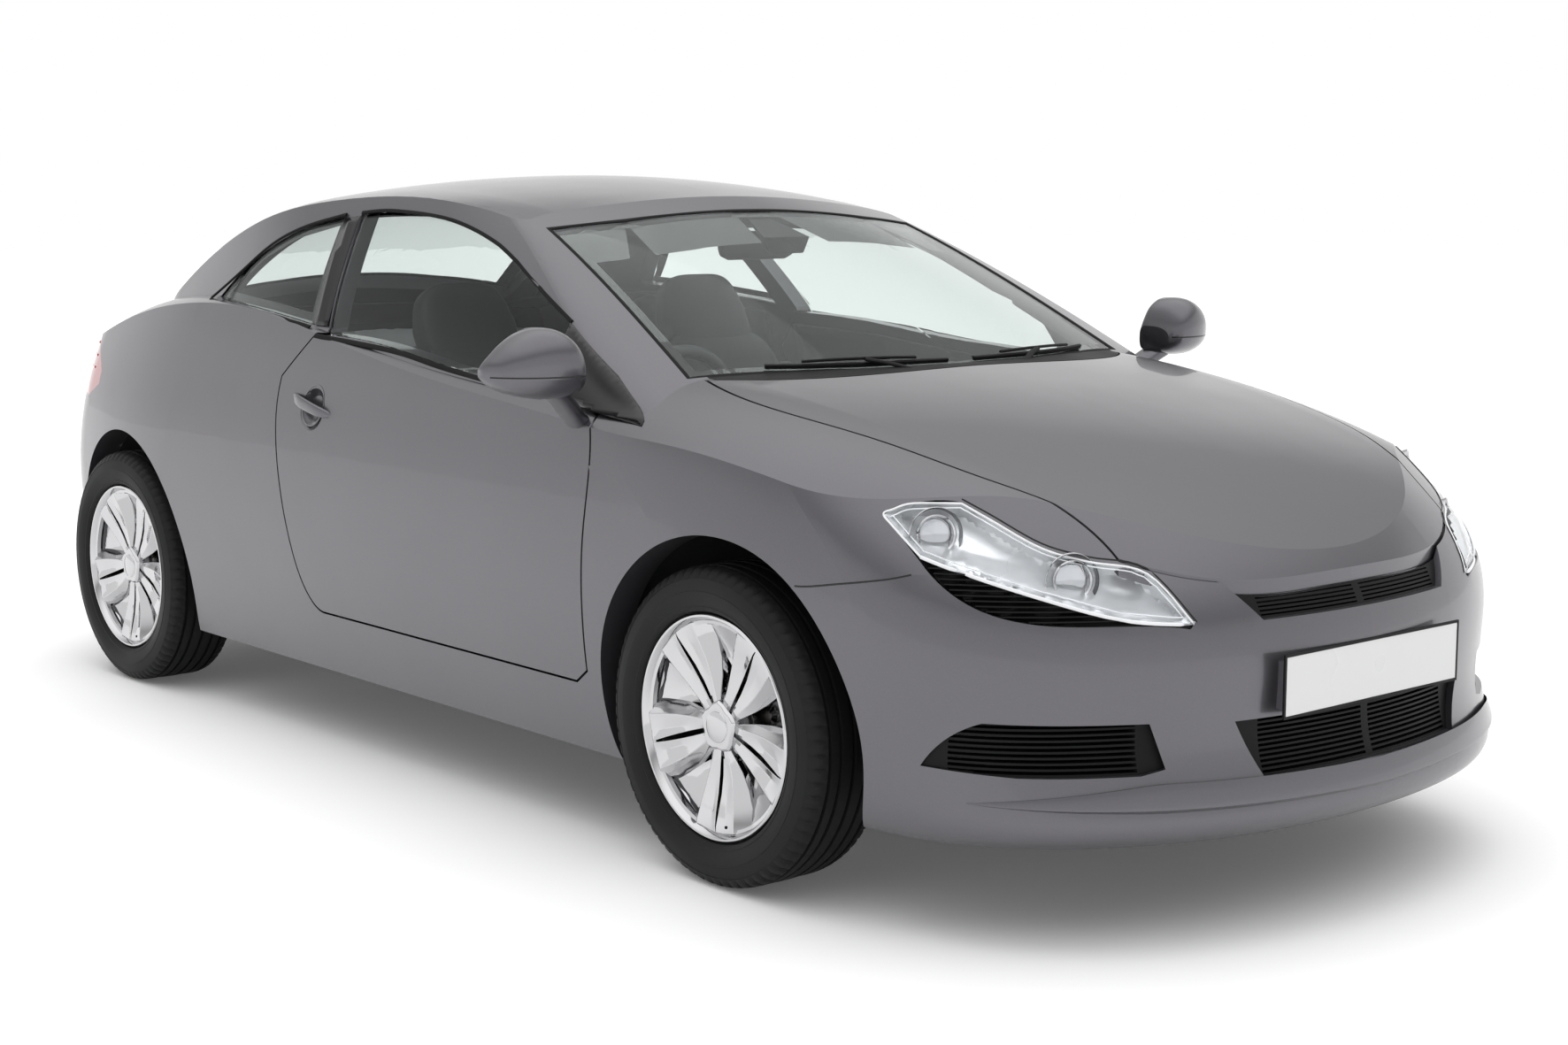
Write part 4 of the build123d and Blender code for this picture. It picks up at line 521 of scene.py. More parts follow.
def panel(tree, lift, outline, offset, step=0.02, hole=None, bowl=None, sizes=None):
    """A sheet laid on the skin inside an outline, with an optional hole, or sunk like a bowl."""
    sizes = sizes or plane_of(lift)
    edge = [(x * sizes[0], y * sizes[1]) for x, y in dense(outline, step, sizes)]
    inner = [(x * sizes[0], y * sizes[1]) for x, y in dense(hole, step, sizes)] if hole else []
    loops = [edge, inner] if inner else [edge]
    points = [Vector(p) for loop in loops for p in loop]
    edges, start = [], 0
    for loop in loops:
        edges += [(start + i, start + (i + 1) % len(loop)) for i in range(len(loop))]
        start += len(loop)
    xs, ys = [p[0] for p in edge], [p[1] for p in edge]
    y, row = min(ys) + step / 2, 0
    while y < max(ys):
        x = min(xs) + step / 2 + (step / 2 if row % 2 else 0)
        while x < max(xs):
            if is_inside((x, y), edge) and edge_distance((x, y), edge) > step * EDGE_CLEARANCE:
                if not inner or (not is_inside((x, y), inner)
                                 and edge_distance((x, y), inner) > step * EDGE_CLEARANCE):
                    points.append(Vector((x, y)))
            x += step
        y, row = y + step * ROW_STEP, row + 1
    flat, _, triangles, *_ = delaunay_2d_cdt(points, edges, [], 1, 1e-6)
    kept = []
    for face in triangles:
        centre = (sum(flat[i][0] for i in face) / 3, sum(flat[i][1] for i in face) / 3)
        if is_inside(centre, edge) and not (inner and is_inside(centre, inner)):
            kept.append(tuple(face))
    verts = []
    for p in flat:
        depth = offset
        if bowl:
            share = min(1, edge_distance(p, edge) / bowl[1])
            depth -= bowl[0] * share * share * (3 - 2 * share)
        verts.append(tuple(laid(tree, lift, (p[0] / sizes[0], p[1] / sizes[1]), depth)))
    return verts, kept


def sweep(path, section, up):
    """Sweeps a small section of (across, up) along a path of points."""
    result = []
    for i, point in enumerate(path):
        ahead = Vector(path[min(len(path) - 1, i + 1)]) - Vector(path[max(0, i - 1)])
        ahead.normalize()
        rise = Vector(up[i]) if isinstance(up, list) else Vector(up)
        across = ahead.cross(rise).normalized()
        rise = across.cross(ahead).normalized()
        result.append([tuple(Vector(point) + across * a + rise * b) for a, b in section])
    return rings(result)


def bead(width, height, sink=0.001):
    """Section of a soft strip: low edges, rounded top."""
    half = width / 2
    return [(-half, -sink), (-half, height * 0.5), (-half * 0.6, height), (half * 0.6, height),
            (half, height * 0.5), (half, -sink)]


def thickened(piece, thickness, side=-1.0):
    solid = piece.modifiers.new("thickness", "SOLIDIFY")
    solid.thickness = thickness
    solid.offset = side
    return piece


def bevelled(piece, width, segments=2):
    bevel = piece.modifiers.new("bevel", "BEVEL")
    bevel.width = width
    bevel.segments = segments
    bevel.limit_method = "ANGLE"
    bevel.angle_limit = radians(28)
    bevel.harden_normals = True
    return piece


def on_both_sides(name, mesh_data, body, finish_name, slot, smooth=40.0):
    """Makes the left piece and its mirror image. body may hold {side}."""
    pieces = []
    for side, sign in SIDES.items():
        data = mesh_data if sign > 0 else flipped(mesh_data)
        pieces.append(make(f"{name}_{side}", *data, body.format(side=side), finish_name, slot, smooth))
    return pieces


# Pieces

def dress_nodes(settings):
    """Gives each CAD node its finish. A later row holds where two rows name a node."""
    GROUPS.update(grain=grain_group(), flake=flake_group(), weave=weave_group())
    body, trim = tuple(settings.body), tuple(settings.trim)
    finish("body_paint", body, (0.30, 0.36), metallic=0.78, coat=0.6, grain=1400, bump=0.02, flake=0.12,
           depth=0.0001)
    finish("black_plastic", trim, (0.45, 0.58), grain=900, bump=0.25, specular=0.18)
    finish("gloss_black", (0.010, 0.010, 0.011), (0.12, 0.18), grain=700, bump=0.01, specular=0.35)
    finish("rubber", (0.007, 0.007, 0.007), (0.62, 0.75), grain=600, bump=0.3, specular=0.15)
    finish("tyre_rubber", (0.009, 0.009, 0.0095), (0.48, 0.66), grain=350, bump=0.35, specular=0.22)
    finish("window_glass", tuple(settings.glass), (0.0, 0.0), transmission=1.0, ior=1.18)
    finish("lamp_lens", (0.96, 0.97, 0.98), (0.0, 0.0), transmission=1.0, ior=1.15)
    finish("lamp_silver", (0.74, 0.75, 0.76), (0.24, 0.34), metallic=0.5, grain=60, bump=0.01)
    # White lamp trim with a faint emission: a painted glow that keeps the thin edge lines bright although the
    # lamp is not lit
    finish("lamp_white", (0.90, 0.91, 0.93), (0.10, 0.16), coat=0.8, emission=0.06, bump=0.0)
    finish("tail_red", (0.42, 0.012, 0.016), (0.08, 0.14), coat=1.0, grain=220, bump=0.12)
    finish("tail_bright", (0.62, 0.03, 0.03), (0.10, 0.16), coat=1.0, grain=220, bump=0.05)
    finish("wheel_silver", (0.56, 0.56, 0.57), (0.06, 0.11), metallic=1.0, grain=120, bump=0.01)
    finish("barrel_silver", (0.14, 0.14, 0.145), (0.30, 0.42), metallic=0.9, grain=250, bump=0.05)
    finish("machined_iron", (0.33, 0.32, 0.31), (0.22, 0.34), metallic=1.0, grain=500, bump=0.15)
    finish("cast_metal", (0.14, 0.14, 0.145), (0.45, 0.60), metallic=0.8, grain=140, bump=0.4)
    finish("underbody", (0.022, 0.022, 0.024), (0.55, 0.72), grain=160, bump=0.35)
    finish("exhaust_steel", (0.36, 0.35, 0.34), (0.28, 0.42), metallic=1.0, grain=90, bump=0.1)
    finish("seat_cover", tuple(settings.seats), (0.60, 0.75), weave=60.0, bump=0.12, sheen=0.1)
    finish("dash_skin", (0.030, 0.031, 0.033), (0.50, 0.62), grain=520, bump=0.12)
    finish("roof_lining", (0.07, 0.07, 0.073), (0.80, 0.90), weave=80.0, bump=0.08)
    finish("plate_face", (0.80, 0.80, 0.80), (0.25, 0.32), coat=0.3, grain=300, bump=0.02)
    finish("mirror_glass", (0.82, 0.84, 0.85), (0.01, 0.02), metallic=1.0, bump=0.0)
    table = {
        "body_paint": ("bonnet", "tailgate", "door_left", "door_right", "body_side", "front_wing",
                       "roof_panel", "front_bumper", "rear_bumper", "door_mirror", "door_handle"),
        "black_plastic": ("upper_grille", "lower_grille", "side_intake", "cowl_panel"),
        "rubber": ("wiper",),
        "window_glass": ("windscreen", "tailgate_window", "door_glass", "quarter_window"),
        "tail_red": ("tail_lamp",),
        "lamp_silver": ("headlamp",),
        "tyre_rubber": ("tyre",),
        "wheel_silver": ("rim",),
        "machined_iron": ("brake_disc",),
        "cast_metal": ("knuckle", "engine_block", "rear_axle"),
        "underbody": ("floor_pan", "front_bulkhead", "front_subframe"),
        "exhaust_steel": ("exhaust",),
        "seat_cover": ("front_seat", "rear_bench"),
        "dash_skin": ("dashboard", "centre_console", "steering_wheel"),
        "plate_face": ("front_plate", "rear_plate"),
    }
    for finish_name, starts in table.items():
        for name, node in NODES.items():
            if name.startswith(starts):
                for slot in node.material_slots:
                    slot.material = FINISHES[finish_name]


def wheel_places():
    for axle, x in (("front", FRONT_AXLE_X), ("rear", REAR_AXLE_X)):
        for side, sign in SIDES.items():
            yield f"{axle}_{side}", x, sign


def wheel_piece(name, mesh_data, place, finish_name, slot, smooth=35.0):
    suffix, x, sign = place
    data = mesh_data if sign > 0 else flipped(mesh_data)
    data = moved(data, Matrix.Translation((x, sign * WHEEL_Y, AXLE_Z)))
    return make(f"{name}_{suffix}", *data, f"wheel_{suffix}", finish_name, slot, smooth)


def tyre_mesh(sizes):
    """A tyre with a rim guard, stepped sidewalls, five grooves and shoulder blocks."""
    radius, half, bead_half = sizes.tyre_radius, sizes.tyre_width / 2, sizes.bead_width / 2
    rim = sizes.rim_radius
    sidewall = [(bead_half - 0.004, 0.204), (bead_half, rim - 0.001), (bead_half + 0.003, rim + 0.003),
                (bead_half + 0.009, rim + 0.005), (bead_half + 0.014, rim + 0.010),
                (bead_half + 0.0155, rim + 0.014),
                (bead_half + 0.0150, rim + 0.016), (half - 0.0035, rim + 0.024), (half - 0.0005, rim + 0.036),
                (half, rim + 0.044), (half - 0.0008, rim + 0.0445), (half - 0.0016, rim + 0.055),
                (half - 0.0050, rim + 0.068), (half - 0.0042, rim + 0.0685), (half - 0.0085, radius - 0.014)]
    shoulder = [(half - 0.0125, radius - 0.0085), (half - 0.018, radius - 0.0045),
                (half - 0.026, radius - 0.0020)]
    tread = []
    for centre in (0.0575, 0.031):
        tread += [(centre + 0.0045, radius - 0.0009), (centre + 0.0035, radius - 0.0075),
                  (centre - 0.0035, radius - 0.0075), (centre - 0.0045, radius - 0.0007)]
    right = sidewall + shoulder + tread + [(0.0045, radius), (0.0035, radius - 0.0075)]
    profile = right + [(-y, r) for y, r in right[::-1]]
    steps = sizes.tread_pitch * 4
    block_rows = set(range(len(sidewall) - 1, len(sidewall) + len(shoulder)))
    count = len(profile)
    block_rows |= {count - 1 - j for j in block_rows}
    verts = []
    for i in range(steps):
        for j, (y, r) in enumerate(profile):
            skew = 0.010 * (abs(y) / half) * (1 if y > 0 else -1)
            angle = 2 * pi * i / steps + skew
            if j in block_rows and i % 4 == 0:
                r -= 0.0045
            verts.append((r * cos(angle), y, r * sin(angle)))
    faces = [(i * count + j, i * count + j + 1, (i + 1) % steps * count + j + 1, (i + 1) % steps * count + j)
             for i in range(steps) for j in range(count - 1)]
    faces += [(i * count + count - 1, i * count, (i + 1) % steps * count, (i + 1) % steps * count + count - 1)
              for i in range(steps)]
    return verts, faces


def make_tyres(sizes):
    data = tyre_mesh(sizes)
    for place in wheel_places():
        piece = wheel_piece("tyre_tread", data, place, "tyre_rubber", "tyre", 30.0)
        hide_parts(f"tyre_{place[0]}")


def blade_mesh(angle, side, sizes):
    """One broad blade: a bright twisting face, a ridge and a darker flank."""
    sections = []
    rows = ((0.040, 0.020, 0.0610, 0.000), (0.062, 0.030, 0.0600, 0.004), (0.095, 0.044, 0.0580, 0.011),
            (0.130, 0.058, 0.0590, 0.017), (0.165, 0.071, 0.0640, 0.021), (0.192, 0.081, 0.0700, 0.019),
            (0.2035, 0.085, 0.0730, 0.012))
    for radius, width, face, twist in rows:
        swing = side * 0.10 * (radius - 0.05) / 0.15
        half = width / 2
        line = [(-half, face - twist - 0.014), (-half, face - twist), (-half * 0.30, face + twist * 0.35),
                (half * 0.55, face + twist * 0.10), (half, face + twist * 0.55 - 0.004), (half, face - 0.016)]
        sections.append([about_axle(radius, radians(angle) + swing + side * across / radius, y)
                         for across, y in line])
    return rings(sections)


def make_rims(sizes):
    flange, inner = sizes.bead_width / 2 + 0.009, -sizes.bead_width / 2 - 0.009
    rim, bead_half = sizes.rim_radius, sizes.bead_width / 2
    lip = [(bead_half, rim - 0.002), (flange - 0.002, rim), (flange, rim - 0.002), (flange, rim - 0.006),
           (flange - 0.004, rim - 0.0095), (flange - 0.011, rim - 0.0135), (flange - 0.013, rim - 0.020),
           (flange - 0.022, rim - 0.021), (bead_half - 0.020, rim - 0.014), (bead_half - 0.004, rim - 0.013)]
    barrel = [(bead_half - 0.018, 0.2025), (bead_half - 0.018, 0.195), (0.030, 0.188), (-0.020, 0.185),
              (inner + 0.02, 0.192),
              (inner + 0.002, 0.205), (inner, rim - 0.001), (inner + 0.008, rim), (inner + 0.009, 0.204),
              (-0.02, 0.196), (0.03, 0.198)]
    back = [(0.036, 0.0201), (0.036, 0.060), (0.044, 0.064), (0.052, 0.060), (0.052, 0.0201)]
    blades = []
    pitch = 360 / sizes.blades
    for pair in range(sizes.blades):
        for side in (-1, 1):
            blades.append(blade_mesh(pair * pitch + side * pitch / 4, side, sizes))
    dishes, star = [], []
    for pair in range(sizes.blades):
        field = []
        for radius, spread, face in ((0.100, 4.0, 0.022), (0.125, 8.0, 0.030), (0.150, 13.0, 0.038),
                                     (0.180, 16.0, 0.048), (0.2035, 18.0, 0.060)):
            line = [(share, face - 0.006 * (1 - share * share)) for share in (-1, -0.55, 0, 0.55, 1)]
            line += [(1, face - 0.014), (-1, face - 0.014)]
            field.append([about_axle(radius, radians(pair * pitch + share * spread), y) for share, y in line])
        dishes.append(rings(field))
    for y, outer, waist in ((0.046, 0.053, 0.046), (0.066, 0.052, 0.044), (0.0715, 0.047, 0.039)):
        radii = (outer, (outer + waist) / 2, waist, (outer + waist) / 2)
        star.append([about_axle(radii[k % 4], 2 * pi * k / 20, y) for k in range(20)])
    cap = lathe([(0.070, CORE), (0.0760, CORE), (0.0758, 0.012), (0.0745, 0.024), (0.0725, 0.030),
                 (0.0700, 0.0315)], 40)
    groove = lathe([(0.0700, 0.0315), (0.0712, 0.0325), (0.0716, 0.034), (0.0700, 0.035)], 40)
    valve = moved(lathe([(0.0, CORE), (0.0, 0.005), (0.020, 0.0045), (0.021, 0.003), (0.024, 0.003),
                         (0.025, CORE)], 16),
                  Matrix.Translation((0.030, flange - 0.034, -0.188)))
    for place in wheel_places():
        ring = wheel_piece("rim_lip", lathe(lip, 128), place, *SILVER)
        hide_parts(f"rim_{place[0]}")
        wheel_piece("rim_barrel", joined([lathe(barrel, 96), lathe(back, 48)]), place, "barrel_silver",
                    "alloy")
        bevelled(wheel_piece("rim_blades", joined(blades), place, *SILVER, 24.0), 0.0016, 3)
        bevelled(wheel_piece("rim_dishes", joined(dishes), place, *SILVER, 24.0), 0.0016, 2)
        bevelled(wheel_piece("hub_star", rings(star), place, *SILVER, 30.0), 0.0014)
        wheel_piece("hub_cap", joined([cap, groove]), place, *SILVER)
        wheel_piece("tyre_valve", valve, place, *RUBBER)


def make_headlamps():
    tree = skin("headlamp", "front_wing", "front_bumper", "bonnet")
    sizes = (LAMP_LENGTH, LAMP_HEIGHT)
    top = curve_through(LAMP_TOP[:4], 3)[:-1] + curve_through(LAMP_TOP[3:], 4)
    lens_outline = top + list(LAMP_EDGE)
    lens = panel(tree, from_corner, lens_outline, -0.0005, 0.014, sizes=sizes)
    bowl = panel(tree, from_corner, lens_outline, -0.0030, 0.009, bowl=(0.052, 0.030), sizes=sizes)
    grille_outline = list(LAMP_EDGE[::-1]) + [(0.999, 0), (1.0, -0.02)] + list(LAMP_BASE)
    back = panel(tree, from_corner, grille_outline, -0.012, 0.014, sizes=sizes)
    for piece, side in zip(on_both_sides("lamp_bowl", bowl, "root", "lamp_silver", "lamp_clear"), SIDES):
        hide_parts(f"headlamp_{side}")
    for piece in on_both_sides("lamp_lens", lens, "root", "lamp_lens", "lamp_clear"):
        thickened(piece, 0.002)
    on_both_sides("lamp_grille_back", back, "root", *PLASTIC)
    ribs = []
    rib = [(-0.0012, -0.006), (-0.0012, 0.003), (0.0012, 0.003), (0.0012, -0.006)]
    level = -0.03
    while level < 0.50:
        points = [(x / 60, level) for x in range(4, 61) if is_inside((x / 60, level), grille_outline)]
        if len(points) > 2:
            ribs.append(sweep(line_on(tree, from_corner, points, -0.006), rib, CORNERWARD))
        level += 0.042
    on_both_sides("lamp_grille_ribs", joined(ribs), "root", *PLASTIC)
    lower = line_on(tree, from_corner, curve_through(((0.999, 0.0),) + LAMP_EDGE, 6), -0.001)
    nose = ((0.124, 0.56), (0.03, 0.80), (0, 0.89), (0.03, 0.93), (0.096, 0.982), (0.253, 0.985))
    rim_line = line_on(tree, from_corner, curve_through(nose, 5), -0.0015)
    brow = ((0.253, 0.985), (0.348, 0.855), (0.510, 0.635), (0.658, 0.525), (0.847, 0.414), (0.992, 0.01))
    upper = line_on(tree, from_corner, curve_through(brow, 6), -0.0015)
    strips = joined([sweep(lower, bead(0.0065, 0.003), CORNERWARD),
                     sweep(rim_line, bead(0.004, 0.0024), CORNERWARD),
                     sweep(upper, bead(0.004, 0.0024), CORNERWARD)])
    # The edge lines below take the lamp trim finish, with its painted glow
    inner_line = inset(lens_outline, sizes, 0.010)
    second = line_on(tree, from_corner, inner_line + inner_line[:2], -0.006)
    on_both_sides("lamp_inner_edge", sweep(second, bead(0.0022, 0.0015), CORNERWARD), "root", *GLOWING_LAMP_TRIM,
                  60.0)
    on_both_sides("lamp_edge", strips, "root", *GLOWING_LAMP_TRIM, 60.0)
    gap = ((0.253, 1.02), (0.348, 0.895), (0.510, 0.672), (0.658, 0.562), (0.847, 0.450), (1.005, 0.01))
    seal = sweep(line_on(tree, from_corner, curve_through(gap, 6)), bead(0.004, 0.0008), CORNERWARD)
    on_both_sides("lamp_seal", seal, "root", *GLOSS, 60.0)
    shade = [(0.0, CORE), (0.0, 0.030), (0.028, 0.0345), (0.031, 0.0360), (0.033, 0.0345), (0.031, 0.0315),
             (0.014, 0.0290), (0.010, CORE)]
    outer_ring = [(0.020, 0.0440), (0.028, 0.0465), (0.030, 0.0480), (0.028, 0.0490), (0.018, 0.0460)]
    dome = [(0.010, CORE), (0.010, 0.0285)] + [(0.012 + 0.018 * sin(t), 0.0285 * cos(t)) for t in
                                                [radians(a) for a in range(0, 90, 12)]] + [(0.030, CORE)]
    rings_mesh, domes = [], []
    for x, y, z in PROJECTORS:
        aim = Vector((0.86, 0.48, 0.06)).normalized()
        turn = Vector((0, 1, 0)).rotation_difference(aim).to_matrix().to_4x4()
        place = Matrix.Translation(Vector((x, y, z)) - aim * 0.052) @ turn
        rings_mesh += [moved(lathe(shade, 40), place), moved(lathe(outer_ring, 40), place)]
        domes.append(moved(lathe(dome, 40), place))
    on_both_sides("lamp_projector", joined(rings_mesh), "root", "wheel_silver", "lamp_clear")
    on_both_sides("lamp_dome", joined(domes), "root", "lamp_lens", "lamp_clear")


MIRROR_STOPS = curve_through((
    (0.00, 0.72, 0.42, -0.18), (0.04, 0.86, 0.62, -0.12), (0.12, 0.97, 0.84, -0.04), (0.26, 1.0, 0.98, 0.01),
    (0.44, 0.96, 1.0, 0.02), (0.62, 0.86, 0.88, 0.0), (0.78, 0.70, 0.67, -0.04), (0.90, 0.50, 0.44, -0.08),
    (0.96, 0.34, 0.28, -0.09), (1.0, 0.14, 0.12, -0.10)), 4)
MIRROR_X, MIRROR_Y, MIRROR_Z = 0.7225, 0.868, 0.975
MIRROR_DEPTH, MIRROR_LENGTH, MIRROR_HEIGHT = 0.128, 0.184, 0.138
MIRROR_SEAM = 0.020


def mirror_ring(stop, count=40):
    """Section of the mirror's head, flat behind and round in front."""
    share, length, height, rise = stop
    ring = []
    for c, q in around(count):
        along = eased(c, 0.85 if c > 0 else 0.35)
        up = eased(q, 0.80)
        ring.append((MIRROR_X + MIRROR_DEPTH * length * (0.35 + (0.65 if c > 0 else 0.35) * along),
                     MIRROR_Y + MIRROR_LENGTH * share, MIRROR_Z + MIRROR_HEIGHT * (rise + 0.5 * height * up)))
    return ring


def make_mirrors():
    sections = [mirror_ring(stop) for stop in MIRROR_STOPS]
    verts, faces = rings(sections)
    upper, lower = [], []
    for face in faces:
        level = sum(verts[i][2] for i in face) / len(face) - MIRROR_Z
        (lower if level < -MIRROR_SEAM else upper).append(face)
    shells = on_both_sides("mirror_shell", (verts, upper), ON_DOOR, *PAINT, 60.0)
    for piece, side in zip(shells, SIDES):
        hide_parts(f"door_mirror_{side}")
    on_both_sides("mirror_base", (verts, lower), ON_DOOR, *PAINT, 60.0)
    shell = BVHTree.FromPolygons(verts, faces)
    seam = []
    for stop in MIRROR_STOPS[2:-3]:
        hit = shell.ray_cast(Vector((2, MIRROR_Y + MIRROR_LENGTH * stop[0], MIRROR_Z - MIRROR_SEAM)),
                             Vector((-1, 0, 0)))[0]
        if hit:
            seam.append(tuple(hit))
    glass_ring = [(MIRROR_X - 0.001, MIRROR_Y + MIRROR_LENGTH * s, MIRROR_Z + z) for s, z in
                  ((0.12, -0.042), (0.12, 0.030), (0.24, 0.050), (0.46, 0.056), (0.66, 0.040), (0.82, 0.018),
                   (0.88, -0.008), (0.80, -0.030), (0.58, -0.048), (0.30, -0.053))]
    glass = rings([glass_ring, [(x + 0.006, y, z) for x, y, z in glass_ring]])
    on_both_sides("mirror_glass", glass, ON_DOOR, "mirror_glass", "glass")
    groove = sweep(seam, [(-0.0014, -0.002), (-0.0014, 0.0007), (0.0014, 0.0007), (0.0014, -0.002)],
                   (1, 0, 0))
    on_both_sides("mirror_seam", groove, ON_DOOR, *GLOSS)
    stalk = []
    for x, y, z, length, depth in ((0.713, 0.790, 0.833, 0.050, 0.034), (0.716, 0.808, 0.848, 0.062, 0.036),
                                   (0.726, 0.838, 0.874, 0.066, 0.034), (0.744, 0.872, 0.902, 0.068, 0.032),
                                   (0.764, 0.912, 0.930, 0.072, 0.032)):
        ring = []
        for c, q in around(24):
            across = length / 2 * eased(c, 0.7)
            thick = depth / 2 * eased(q, 0.8)
            ring.append((x + across, y + thick * 0.55, z - thick * 0.83))
        stalk.append(ring)
    on_both_sides("mirror_stalk", rings(stalk), ON_DOOR, *PAINT, 50.0)


HANDLE_STATION, HANDLE_LEVEL = 1.586, 0.606
HANDLE_BOWL, HANDLE_LENGTH = 0.0466, 0.172


def make_handles():
    """A broad pull bar over a round bowl."""
    round_outline = [(HANDLE_STATION + HANDLE_BOWL / WHEELBASE * cos(radians(t)),
                      HANDLE_LEVEL + HANDLE_BOWL / HEIGHT * sin(radians(t))) for t in range(0, 360, 12)]
    fair = FairSkin(skin("door_left"), from_side, round_outline, 0.07, 0.0)
    bowl = panel(fair, from_side, round_outline, 0.0008, 0.006, bowl=(0.0125, 0.022))
    on_both_sides("handle_bowl", bowl, ON_DOOR, *PAINT, 60.0)
    ring = line_on(fair, from_side, round_outline + round_outline[:2], 0.0006)
    on_both_sides("handle_bowl_rim", sweep(ring, bead(0.0035, 0.0008), (0, 1, 0.2)), ON_DOOR, *PAINT, 60.0)
    x, z = station_x(HANDLE_STATION), HANDLE_LEVEL * HEIGHT
    base = laid(fair, from_side, (HANDLE_STATION, HANDLE_LEVEL)).y
    sections = []
    for k in range(25):
        t = k / 24
        along = (t - 0.5) * HANDLE_LENGTH
        arch = 0.021 * (1 - abs(2 * t - 1) ** 3.2)
        height = 0.0150 * max(0.15, (1 - abs(2 * t - 1) ** 4)) ** 0.6 * (1.05 - 0.25 * t)
        section = []
        for c, q in around(20):
            section.append((x + along, base - 0.004 + arch + 0.0062 * eased(q, 0.8),
                            z - along * 0.2126 + height * eased(c, 0.7)))
        sections.append(section)
    bars = on_both_sides("handle_bar", rings(sections), ON_DOOR, *PAINT, 50.0)
    for piece, side in zip(bars, SIDES):
        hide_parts(f"door_handle_{side}")


def make_wipers():
    """Slim blades with a rubber lip, a claw frame, an arm and its spindle cap."""
    line = curve_through(((1.0735, 0.045), (1.0765, 0.170), (1.0830, 0.300), (1.0950, 0.440),
                          (1.1085, 0.548)), 6)
    fair = FairSkin(skin("windscreen"), from_above, line, 0.03, 0.0)
    outward = (0.35, 0, 1)
    lip = line_on(fair, from_above, line, 0.001)
    frame_line = line_on(fair, from_above, line, 0.006)
    claw = [tuple(laid(fair, from_above, p, 0.008 + 0.008 * sin(pi * k / (len(line) - 1))))
            for k, p in enumerate(line)][5:-5]
    arm_line = curve_through(((1.0500, 0.130), (1.0600, 0.190), (1.0720, 0.245), (1.0815, 0.300)), 5)
    arm = [tuple(laid(fair, from_above, p, 0.010 + 0.006 * k / 15)) for k, p in enumerate(arm_line)]
    blade = joined([sweep(lip, bead(0.005, 0.005), outward), sweep(frame_line, bead(0.009, 0.003), outward),
                    sweep(claw, bead(0.006, 0.004), outward), sweep(arm, bead(0.013, 0.005), outward)])
    cap = moved(lathe([(-0.020, CORE), (-0.020, 0.014), (0.004, 0.0135), (0.008, 0.010), (0.009, CORE)],
                      24),
                Matrix.Translation(Vector(arm[0])) @ Matrix.Rotation(radians(80), 4, "X"))
    arms = on_both_sides("wiper_arm", joined([blade, cap]), "root", "black_plastic", "rubber_black", 45.0)
    for piece, side in zip(arms, SIDES):
        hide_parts(f"wiper_{side}")


def full(outline):
    """A half outline that starts and ends on the centre line, with its mirror image."""
    half = [tuple(p) for p in outline]
    return half + [(x, -y) for x, y in half[-2:0:-1]]


def inset(outline, sizes, amount):
    """Moves a closed outline inward by an amount in metres."""
    points = [(x * sizes[0], y * sizes[1]) for x, y in outline]
    count = len(points)
    area = sum(points[i - 1][0] * points[i][1] - points[i][0] * points[i - 1][1] for i in range(count))
    sign = -1 if area > 0 else 1
    result = []
    for i in range(count):
        (ax, ay), (bx, by), (cx, cy) = points[i - 1], points[i], points[(i + 1) % count]
        lu, lv = hypot(bx - ax, by - ay), hypot(cx - bx, cy - by)
        nx = sign * ((by - ay) / lu + (cy - by) / lv)
        ny = -sign * ((bx - ax) / lu + (cx - bx) / lv)
        square = max(0.6, nx * nx + ny * ny)
        result.append(((bx + 2 * amount * nx / square) / sizes[0],
                       (by + 2 * amount * ny / square) / sizes[1]))
    return result


